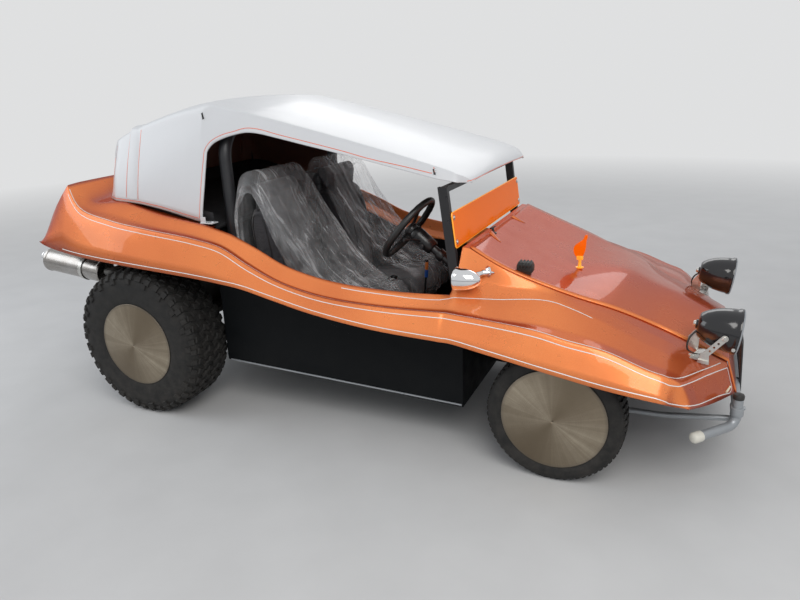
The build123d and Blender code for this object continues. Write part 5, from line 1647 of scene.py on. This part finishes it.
def makeBumper():
    b = bumper
    tubes = [bar([(b["x"], -b["half"], b["z"]), (b["x"], b["half"], b["z"])], b["radius"], steps=24)]
    sweep = bar(b["side"], b["radius"], [0, 52, 0], 24, 12)
    tubes += pairOf([sweep, bar(b["stay"], 12, [0, 40, 0]), bar(b["drop"], 12)])
    hardware("bumperTubes", tubes, "frame_black", "barGrey", ("front_bumper",))
    end, before = Vector(b["side"][0]), Vector(b["side"][1])
    out = (end - before).normalized()
    hardware("bumperCaps", pairOf([spun(b["cap"], end, out, 32)]), "bright", "capCream")
    hardware("bumperPlugs", pairOf([spun(b["plug"], b["side"][2], (0, 0, 1), 32)]), "frame_black", "softRubber")
    parts = [spun(b["collar"], (b["x"], -b["half"] + 34, b["z"]), (0, 1, 0), 32),
             spun(b["collar"], (b["x"], -b["half"], b["z"]), (0, 0, 1), 32)]
    parts.append(spun([(0.3, 11), (6, 10.5), (8, 8), (8, 0), (0.3, 0)], (b["x"] + 20, -b["half"] + 34, b["z"]), (1, 0, 0), 6))
    hardware("bumperCollars", pairOf(parts), "frame_black", "barGrey")


guard = {"half": 200.0, "low": 262.0, "high": 505.0, "face": 1743.0, "lean": 15.0, "rail": 5.5, "pitch": 15.0, "wire": 1.25,
         "weave": 1.2, "strap": [(1726, -170, 286), (1742, -170, 288), (1742, -170, 320), (1726, -170, 323)]}


def makeGuard():
    g = guard

    def at(y, z, lift=0.0):
        return (g["face"] - g["lean"] * (z - g["low"]) / (g["high"] - g["low"]) + lift, y, z)

    r = g["rail"]
    inner, low, high = g["half"] - r, g["low"] + r, g["high"] - r
    loop = [at(*place) for place in ((0, low), (inner, low), (inner, high), (-inner, high), (-inner, low), (0, low))]
    zs = np.arange(low + g["pitch"] * 0.6, high, g["pitch"])
    ys = np.arange(-inner + g["pitch"] * 0.8, inner, g["pitch"])

    def weave(along, first, k):
        # how far wire number k stands out where it crosses the others
        return g["weave"] * math.cos(math.pi * (along - first) / g["pitch"]) * (-1) ** k

    wires = []
    for k, y in enumerate(ys):
        points = inMm(at(y, z, weave(z, zs[0], k)) for z in np.linspace(low, high, 66))
        wires.append(tubeAlong(points, g["wire"] * mm, 5))
    for k, z in enumerate(zs):
        points = inMm(at(y, z, -weave(y, ys[0], k)) for y in np.linspace(-inner, inner, 106))
        wires.append(tubeAlong(points, g["wire"] * mm, 5))
    feet = [blockMesh(1737, 1744, -176, -164, 294, 318, 1.5), bar([(1738, -170, 306), (1740, -170, 306)], 7),
            bar(g["strap"], 4, [0, 6, 6, 0])]
    frameParts = [bar(loop, r, [0, 26, 26, 26, 26, 0], 12, 8)] + pairOf(feet)
    hardware("guardFrame", frameParts, "frame_black", "frameBlack", ("grille",))
    hardware("guardMesh", wires, "frame_black", "guardWire")


mirrorHead = {
    "centre": (645.0, -637.0, 800.0),
    "bullet": [(43, 3), (44.5, -1), (47, -1.5), (48, 1), (48, 6), (46.5, 9), (46, 26), (43.5, 46), (39, 64), (32, 80), (22, 94),
               (11, 103), (3, 106), (0.3, 106), (0.3, 92), (36, 60), (42, 20)],
    "glass": [(0.3, 1.5), (43.6, 1.5), (43.6, 4), (0.3, 4)],
    "arm": [(48, 26, 0), (70, 48, 6), (92, 66, 11), (106, 86, 14)],
    "foot": [(0.3, -6), (24, -5), (25, -2), (21, 3), (12, 9), (0.3, 12)],
    "tail": [(0.3, -44), (3, -42), (8, -28), (12, -10), (13, 0), (12, 8), (7, 14), (0.3, 16)],
}


def makeMirror():
    m = mirrorHead
    place = Vector(m["centre"])
    arm = rod([place + Vector(p) for p in m["arm"]], (15, 8.5), 20, 5)
    foot = spun(m["foot"], place + Vector((108, 84, 14)), (-0.72, -0.66, 0.05), 32)
    tail = spun(m["tail"], place + Vector((96, 70, 12)), (-0.92, -0.3, -0.02), 24)
    parts = [spun(m["bullet"], place, (1, 0, 0), 64), arm, foot, tail]
    hardware("mirrorShell", parts, "bright", "brightChrome", ("mirror",))
    hardware("mirrorFace", [spun(m["glass"], m["centre"], (1, 0, 0), 48)], "bright", "mirrorGlass")


silencer = {
    "end": -1705.0, "y": -597.0, "z": 704.0,
    "can": [(0.3, 2), (30, 2), (34, 4), (55, 4), (57, 1), (61, 0), (63.5, 3), (63.5, 13), (61, 16), (60.4, 20), (60.2, 190),
            (60.4, 368), (61, 371), (63, 374), (63, 383), (60, 388), (40, 392), (0.3, 393), (0.3, 360), (50, 190), (0.3, 20)],
    "tip": [(25, -43), (28, -45), (31, -44.5), (33, -42), (33, -38), (31, -35), (30.5, -8), (33, -4), (37, 0), (37, 6), (26, 6),
            (27, -20)],
    "flange": [(22.2, 0), (34, 0), (35, 2), (35, 10), (34, 12), (22.2, 12)],
    "bore": [(0.3, -18), (26.5, -18), (26.5, -16), (0.3, -16)],
    "band": [(61.5, -12), (65, -11), (65, 11), (61.5, 12), (60.6, 11), (60.6, -11)], "bandAt": 265.0,
    "rivet": [(0.3, -2.4), (2.6, -1.8), (3.6, 0), (3.6, 2), (0.3, 2)], "rivets": 8, "rivetRing": 48.0,
    "axis": (0.9942, 0.0, -0.1075), "pipe": [(-1326, -597, 664), (-1296, -585, 661), (-1296, -400, 660), (-1296, -330.5, 660)],
}


def makeExhausts():
    s = silencer
    centre = Vector((s["end"], s["y"], s["z"]))
    axis = Vector(s["axis"])
    side = axis.cross(Vector((0, 1, 0)))
    mouth = centre + Vector((0, 0, 8))
    parts = [spun(s["tip"], mouth, axis, 48)]
    for a in turns(s["rivets"], 0.5):
        place = centre + axis * 4 + (Vector((0, 1, 0)) * math.cos(a) + side * math.sin(a)) * s["rivetRing"]
        parts.append(spun(s["rivet"], place, axis, 12))
    hardware("silencers", pairOf([spun(s["can"], centre, axis, 72)]), "bright", "brushedSteel", ("exhausts",))
    pipe = [bar(s["pipe"], 22, [0, 12, 0, 0], 24), spun(s["flange"], s["pipe"][3], (0, -1, 0), 32)]
    hardware("exhaustPipes", pairOf(pipe), "bright", "castAlloy")
    hardware("tailPipes", pairOf(parts), "bright", "brightChrome")
    # dark disc inside the tail pipes: painted shade
    hardware("tailBores", pairOf([spun(s["bore"], mouth, axis, 32)]), "bright", "ventDark")
    hardware("silencerBands", pairOf([spun(s["band"], centre + axis * s["bandAt"], axis, 64)]), "bright", "zincSteel")


steering = {
    "centre": (330.0, -360.0, 934.0), "axis": (-0.788011, 0.0, 0.615661), "ring": 156.0, "grip": 15.0, "steps": (144, 18),
    "spoke": [(24, -21), (70, -14), (118, -13), (146, -20), (150, 0), (146, 20), (118, 13), (70, 14), (24, 21)],
    "holes": [(52, 7.5), (82, 6.5), (110, 5.5)],    # how far out on the spoke, radius
    "hub": [(0.3, 6), (20, 5), (26, 2), (28, -3), (34, -5), (35, -10), (32, -24), (31, -27), (0.3, -27)],
    "screw": [(0.3, 3), (2.6, 2.4), (3, 0), (0.3, 0)], "screws": 6, "screwRing": 30.5,
    "shroud": [(20, -30), (33, -31), (37, -36), (38, -60), (36, -100), (33, -140), (28, -146), (20, -147)],
    "bush": [(19.4, -176), (26, -177), (27, -180), (27, -204), (26, -207), (19.4, -208)],
    "stalk": [(0, -34, 0), (-10, -70, 14), (-22, -120, 22)],
    "stalkEnd": [(0.3, 0), (6.5, 1), (8, 8), (8, 24), (6, 30), (0.3, 32)],
    "switch": [(0.3, 0), (11, 0), (12, 2), (12, 16), (10, 18), (0.3, 18)],
}


def wheelPoint(u, v, w):
    # a place in the steering wheel: u up and forwards, v to the left, w towards the driver
    c, n = Vector(steering["centre"]), Vector(steering["axis"])
    return (c + Vector((n.z, 0, -n.x)) * u + Vector((0, 1, 0)) * v + n * w) * mm


def onWheel(radius, a, w):
    return wheelPoint(radius * math.cos(a), radius * math.sin(a), w)


def makeSteeringWheel():
    s = steering
    verts = []
    for a in turns(s["steps"][0]):
        for b in turns(s["steps"][1]):
            grip = s["grip"] * (1.0 + (0.035 * math.cos(24 * a) if math.cos(b) < 0.3 else 0.0))    # finger waves
            verts.append(onWheel(s["ring"] + grip * math.cos(b), a, grip * math.sin(b)))
    ring = (verts, gridFaces(*s["steps"], wrapRows=True, wrapCols=True))
    seam = [onWheel(s["ring"] - s["grip"], a, 0.8 * math.sin(40 * a)) for a in np.linspace(0, 2 * math.pi, 180)]
    hardware("wheelGrip", [ring, tubeAlong(seam, 0.0013, 6)], "wheel_rubber", "gripBlack", body="steering_wheel")
    for degrees in (90, 210, 330):
        a = math.radians(degrees)

        def onSpoke(u, v, w):
            # u outwards and v across the spoke, which rises towards the ring
            return wheelPoint(u * math.cos(a) - v * math.sin(a), u * math.sin(a) + v * math.cos(a), w - 8 - 0.03 * (150 - u))

        spoke = hardware("wheelSpoke" + str(degrees), [plateMesh(s["spoke"], 4.0, onSpoke, 0.6)], "wheel_rubber", "satinBlack",
                         body="steering_wheel", smooth=False)
        drill(spoke, [tubeAlong([onWheel(u, a, -30), onWheel(u, a, 12)], r * mm, 24) for u, r in s["holes"]])
    parts = [spun(s["hub"], s["centre"], s["axis"], 48)]
    for a in turns(s["screws"]):
        parts.append(spun(s["screw"], onWheel(s["screwRing"], a, -4) / mm, s["axis"], 10))
    hardware("wheelHub", parts, "wheel_rubber", "satinBlack", ("steering_wheel",), body="steering_wheel")


def makeColumn():
    s = steering
    c, n = Vector(s["centre"]), Vector(s["axis"])
    hardware("columnShroud", [spun(s["shroud"], c, n, 40), spun(s["bush"], c, n, 32)], "frame_black", "satinBlack")
    at = c - n * 82
    parts = [rod([at + Vector(p) for p in s["stalk"]], (5.5, 4.0), 14),
             spun(s["stalkEnd"], at + Vector(s["stalk"][-1]), (-0.2, -0.95, 0.15), 20),
             spun(s["switch"], at + Vector((12, -30, -22)), (-0.1, -1, 0.0), 24)]
    hardware("columnStalk", parts, "frame_black", "satinBlack")


levers = {
    "stick": [(243, 0, 374), (247, 0, 430), (258, 0, 560), (264, 0, 622), (268, 0, 672)], "stickRadius": 5.8,
    "boot": [(0.3, -4), (40, -4), (41, 0), (30, 6), (33, 12), (24, 20), (27, 26), (18, 34), (20, 40), (12, 48), (7, 54),
             (0.3, 54)],
    "upperTape": [(0.3, -36), (8.2, -36), (8.8, -34), (8.8, 2), (8.2, 4), (0.3, 4)],
    "lowerTape": [(0.3, -76), (8.6, -76), (9.2, -74), (9.2, -39), (8.6, -37), (0.3, -37)],
    "knob": [(0.3, 4), (7, 5), (9.5, 9), (10, 14), (7, 20), (0.3, 22)],
    "brake": [(-22, 0, 404), (-52, -20, 470), (-56, -34, 512), (-20, -42, 536), (112, -50, 598)], "brakeRadius": 7.5,
    "grip": [(0.3, -104), (9, -103), (12, -98), (11, -92), (13, -84), (12, -74), (13.5, -64), (12.5, -52), (14, -42),
             (13, -30), (14.5, -20), (15, -6), (12, 2), (0.3, 3)],
    "button": [(0.3, -3), (3.6, -2), (4, 0), (4, 12), (0.3, 12)],
}


def makeLevers():
    s = levers
    brake = smoothLine(s["brake"], 6, {3})
    end, way = Vector(brake[-1]), Vector(brake[-1] - brake[-6]).normalized()
    parts = [rod(s["stick"], s["stickRadius"]), spun(s["boot"], (243, 0, 366), (0.05, 0, 1), 32),
             tubeAlong(inMm(brake), s["brakeRadius"] * mm), spun(s["grip"], end, way, 24),
             blockMesh(-52, 34, -20, 20, 366, 404, 5, 2)]
    hardware("leverStems", parts, "frame_black", "satinBlack", ("levers",))
    top, up = Vector(s["stick"][-1]), (0.06, 0, 1)
    hardware("stickTapeOrange", [spun(s["upperTape"], top, up, 20)], "amber", "tagOrange")
    hardware("stickTapeBlue", [spun(s["lowerTape"], top, up, 20)], "frame_black", "tagBlue")
    hardware("stickKnob", [spun(s["knob"], top, up, 24), spun(s["button"], end, way, 16)], "frame_black", "lampGloss")


deflector = {"low": (605.5, 897.0), "top": (586.6, 1043.0), "half": 532.0, "corner": 12.0, "sheet": 5.0, "proud": 4.6,
             "screw": [([(0.3, 5), (5, 4.4), (7.5, 2), (8, 0), (0.3, 0)], 18), ([(0.3, 1.2), (11, 1.2), (11, 0), (0.3, 0)], 24)]}


def makeScreen():
    # tinted deflector with rounded corners, held to the posts by four screws
    d = deflector
    (x0, z0), (x1, z1) = d["low"], d["top"]
    half, r = d["half"], d["corner"]

    def at(y, z, lift):
        # a place in front of the posts, which lean back
        return Vector((x0 + d["proud"] + lift + (x1 - x0) * (z - z0) / (z1 - z0), y, z))

    outline = []
    for cy, cz, start in ((half - r, z1 - r, 0), (-half + r, z1 - r, 90), (-half + r, z0 + r, 180), (half - r, z0 + r, 270)):
        for a in np.radians(np.arange(start, start + 91, 18)):
            outline.append((cy + r * math.cos(a), cz + r * math.sin(a)))
    plate = plateMesh(outline, d["sheet"], lambda u, v, w: at(u, v, w) * mm, 0.8)
    hardware("deflectorSheet", [plate], "amber", "amberAcrylic", ("wind_deflector",), smooth=False)
    edge = inMm(at(y, z, d["sheet"] / 2) for y, z in outline + outline[:1])
    # edge of the sheet with a painted glow
    hardware("deflectorEdge", [tubeAlong(edge, 0.0027, 8, False)], "amber", "amberEdge")
    screws = []
    for y in (-515, 515):
        for z in (920, 1022):
            screws += [spun(profile, at(y, z, d["sheet"]), (1, 0, 0.13), steps) for profile, steps in d["screw"]]
    hardware("deflectorScrews", screws, "bright", "zincSteel")


fin = {
    "place": (1056.0, -150.0), "sheet": 6.0, "drop": 6.0,
    "outline": [(-14, 50), (-24, 62), (-29, 80), (-27, 98), (-16, 112), (0, 124), (12, 136), (18, 152), (27, 154), (29, 146),
                (25, 128), (24, 104), (20, 78), (8, 52)],
    "post": [(0.3, -2), (17, -2), (18, 1), (9, 5), (7, 9), (6.5, 40), (8, 43), (8, 52), (0.3, 53)],
}
catch = {"rear": 856.0, "front": 922.0, "y": -470.0, "ribs": 4, "ribPitch": 14.0}
spindle = {"place": (682, -196, 900), "foot": [(0.3, -3), (13, -3), (13, 2), (8, 5), (0.3, 5)]}


def onBonnet(x, y, z):
    # the bonnet's surface at a place above it
    return laidOn(bonnetSurface, [(x, y, z)])[0][0]


def makeFin():
    x, y = fin["place"]
    z = onBonnet(x, y, 800)[2]
    line = smoothLine([(a, 0, b) for a, b in fin["outline"] + fin["outline"][:1]], 3)[:-1]
    outline = [(p[0], p[2] - fin["drop"]) for p in line]
    blade = plateMesh(outline, fin["sheet"], lambda u, v, w: Vector((x + u, y - 3 + w, z + v)) * mm, 0.9)
    hardware("finBlade", [blade], "amber", "amberAcrylic", ("bonnet_fin",), smooth=False)
    post = [spun(fin["post"], (x, y, z), (0, 0, 1), 28), blockMesh(x - 14, x + 14, y - 7, y + 7, z + 34, z + 52, 2)]
    # post with the same painted glow
    hardware("finPost", post, "amber", "amberEdge")


def makeCatch():
    # rubber catch with ribs and its strap
    x0, x1, y = catch["rear"], catch["front"], catch["y"]
    z = onBonnet((x0 + x1) / 2, y, 850)[2]
    parts = [blockMesh(x0, x1, y - 26, y + 26, z - 6, z + 30, 9, 3),
             blockMesh(x0 + 4, x1 - 2, y - 32, y + 20, z + 20, z + 38, 8, 3)]
    for k in range(catch["ribs"]):
        rib = x0 + 8 + catch["ribPitch"] * k
        parts.append(blockMesh(rib, rib + 6, y - 34, y + 22, z + 14, z + 41, 2.5, 2))
    parts.append(blockMesh(x0 - 10, x1 - 8, y - 22, y + 22, z - 12, z + 3, 3))
    hardware("catchRubber", parts, "frame_black", "softRubber", ("bonnet_catch",))
    strap = [blockMesh(x0 - 22, x0 + 6, y - 14, y + 14, z - 2, z + 3, 1.5),
             bar([(x0 - 18, y - 17, z + 5), (x0 - 18, y + 17, z + 5)], 3.2)]
    hardware("catchStrap", strap, "bright", "zincSteel")


def makeSpindle():
    # small black spindle behind the vents
    foot = onBonnet(*spindle["place"])
    parts = [bar([foot - (0, 0, 6), foot + (-8, 4, 24)], 6), bar([foot + (-12, -16, 24), foot + (-2, 24, 26)], 4),
             spun(spindle["foot"], foot, (0, 0, 1), 24)]
    hardware("scuttleSpindle", parts, "frame_black", "satinBlack")


vents = {"length": 92.0, "width": 36.0, "height": 9.0, "steps": (17, 15), "places": [(703, -232, -28), (704, 178, 12)]}


def makeVents():
    # teardrop blisters, their rear openings closed by dark sheets of painted shade
    blisters, mouths = [], []
    n, m = vents["steps"]
    for x, y, heading in vents["places"]:
        heading = math.radians(heading)
        way, over = np.array([math.cos(heading), math.sin(heading), 0]), np.array([-math.sin(heading), math.cos(heading), 0])
        places, rises = [], []
        for t in np.linspace(0, 1, n):
            half = vents["width"] / 2 * (1 - t ** 2.2) ** 0.6 + 0.6
            for s in np.linspace(-1, 1, m):
                places.append(np.array([x, y, 900]) + way * (t - 0.5) * vents["length"] + over * s * half)
                rises.append(vents["height"] * (1 - s * s) ** 0.8 * (1 - t) ** 0.9)
        laid = list(zip(*laidOn(bonnetSurface, places), rises))
        verts = [(p + away * (rise + 0.3)) * mm for p, away, rise in laid]
        blisters.append((verts, facingOut(verts, gridFaces(n, m), m + 6, (0, 0, 1))))
        rows = [(p + away * 0.2) * mm for p, away, rise in laid[:m]]
        rows += [(p + away * max(rise - 1.6, 0.2) + 1.5 * way) * mm for p, away, rise in laid[:m]]
        mouths.append((rows, facingOut(rows, gridFaces(2, m), 5, -way)))
    obj = joinedPiece("ventBlisters", blisters, "body_paint", "orangeFlake", inner="ventDark")
    addSolidify(obj, 0.0014, 1, 1.0)
    # dark sheets across the vents' openings: painted shade
    joinedPiece("ventMouths", mouths, "body_paint", "ventDark")


rearLamps = {
    "lens": [(0.3, 21), (16, 20), (30, 16), (39, 8), (41, 4), (41, -4), (0.3, -4)],
    "rim": [(40, -12), (48, -11), (50, -6), (49, 2), (46, 7), (42, 8), (40.4, 4)], "across": (-600, -480),
}


def makeRearLamps():
    # on the slope between the deck's first two rows
    lip, deck = bodyRows[:2]
    low, top = np.array([rearX + lip[1], lip[-1][1]]), np.array([rearX + deck[1], deck[-1][1]])
    (x, z), (along, rise) = (low + top) / 2, top - low
    places = [(x - 8, y, z + 5) for y in rearLamps["across"]]
    for name, profile, slot, finish, replaced in (("rearLenses", "lens", "tail_red", "redLens", ("tail_lamps",)),
                                                  ("rearRims", "rim", "bright", "brightChrome", ())):
        parts = [spun(rearLamps[profile], place, (-rise, 0, along)) for place in places]
        hardware(name, pairOf(parts), slot, finish, replaced)


trim = {"sill": [(-560, 268), (-410, 262), (600, 222), (655, 220)], "sillY": 601.5, "sillRadius": 4.2,
        "marker": [(1684, -425, 367), (1698, -385, 375)], "markerRadius": 4.2, "markerLift": 3.0}


def makeTrim():
    strips = [bar([(x, side * trim["sillY"], z) for x, z in trim["sill"]], trim["sillRadius"], steps=8) for side in (-1, 1)]
    hardware("sillStrips", strips, "black_panel", "barGrey")
    spot, away = laidOn(bodySurface, trim["marker"])
    marks = [tubeAlong(inMm(spot + away * trim["markerLift"]), trim["markerRadius"] * mm, 12)]
    hardware("markerBars", pairOf(marks), "bright", "markerPale")


dash = {"x": 634.0, "gauges": [(-360, 44), (-250, 30), (-170, 30)], "gaugeZ": 836.0, "knobs": 5, "knobPitch": 44.0,
        "knob": [(0.3, -16), (7, -15), (8, -11), (6, -7), (4, -5), (4, 4), (0.3, 4)]}


def makeDashDetail():
    bezels, faces = [], []
    x, z = dash["x"], dash["gaugeZ"]
    for y, r in dash["gauges"]:
        bezels.append(spun([(r - 4, 2), (r - 1, -5), (r + 2, -6), (r + 4, -3), (r + 4, 3), (r - 4, 4)], (x, y, z), (1, 0, 0), 40))
        faces.append(spun([(0.3, 0), (r - 2, 0), (r - 2, 2), (0.3, 2)], (x, y, z), (1, 0, 0), 32))
        faces.append(tubeAlong(inMm([(x - 0.8, y, z), (x - 0.8, y + r * 0.5, z + r * 0.45)]), 0.0008, 6))
    knobs = [spun(dash["knob"], (x, -90 + dash["knobPitch"] * k, 800), (1, 0, 0), 20) for k in range(dash["knobs"])]
    hardware("gaugeBezels", bezels, "bright", "brightChrome")
    hardware("gaugeFaces", faces, "black_panel", "lampGloss")
    hardware("dashKnobs", knobs, "black_panel", "satinBlack")


makeLamps()
makeBrackets()
makeBumper()
makeGuard()
makeMirror()
makeExhausts()
print("lamps, bumper, guard, mirror and silencers made")
makeSteeringWheel()
makeColumn()
makeLevers()
makeScreen()
makeFin()
makeCatch()
makeSpindle()
makeVents()
makeRearLamps()
makeTrim()
makeDashDetail()
print("controls, screen, bonnet parts and trim made")

# finishes of the CAD nodes that stay
nodeFinish = {
    "floor_pan": "boardBlack", "side_boards": "boardBlack", "bulkhead": "boardBlack", "screen_frame": "frameBlack",
    "roll_hoop": "paddedBlack", "dashboard": "dashOrangeInShade", "steering_column": "frameBlack", "front_axle": "gearBlack",
    "rear_axle": "gearBlack", "track_rod": "gearBlack", "knuckle": "gearBlack", "gearbox": "castAlloy", "engine": "castAlloy",
    "rim": "rimBlack",
}


def dressNodes():
    # the rims and knuckles go by the first word of their names
    for name, obj in nodes.items():
        finish = nodeFinish.get(name) or nodeFinish.get(name.split("_")[0])
        if finish:
            for entry in obj.material_slots:
                entry.material = palette[finish]


dressNodes()
print("frame finishes set")
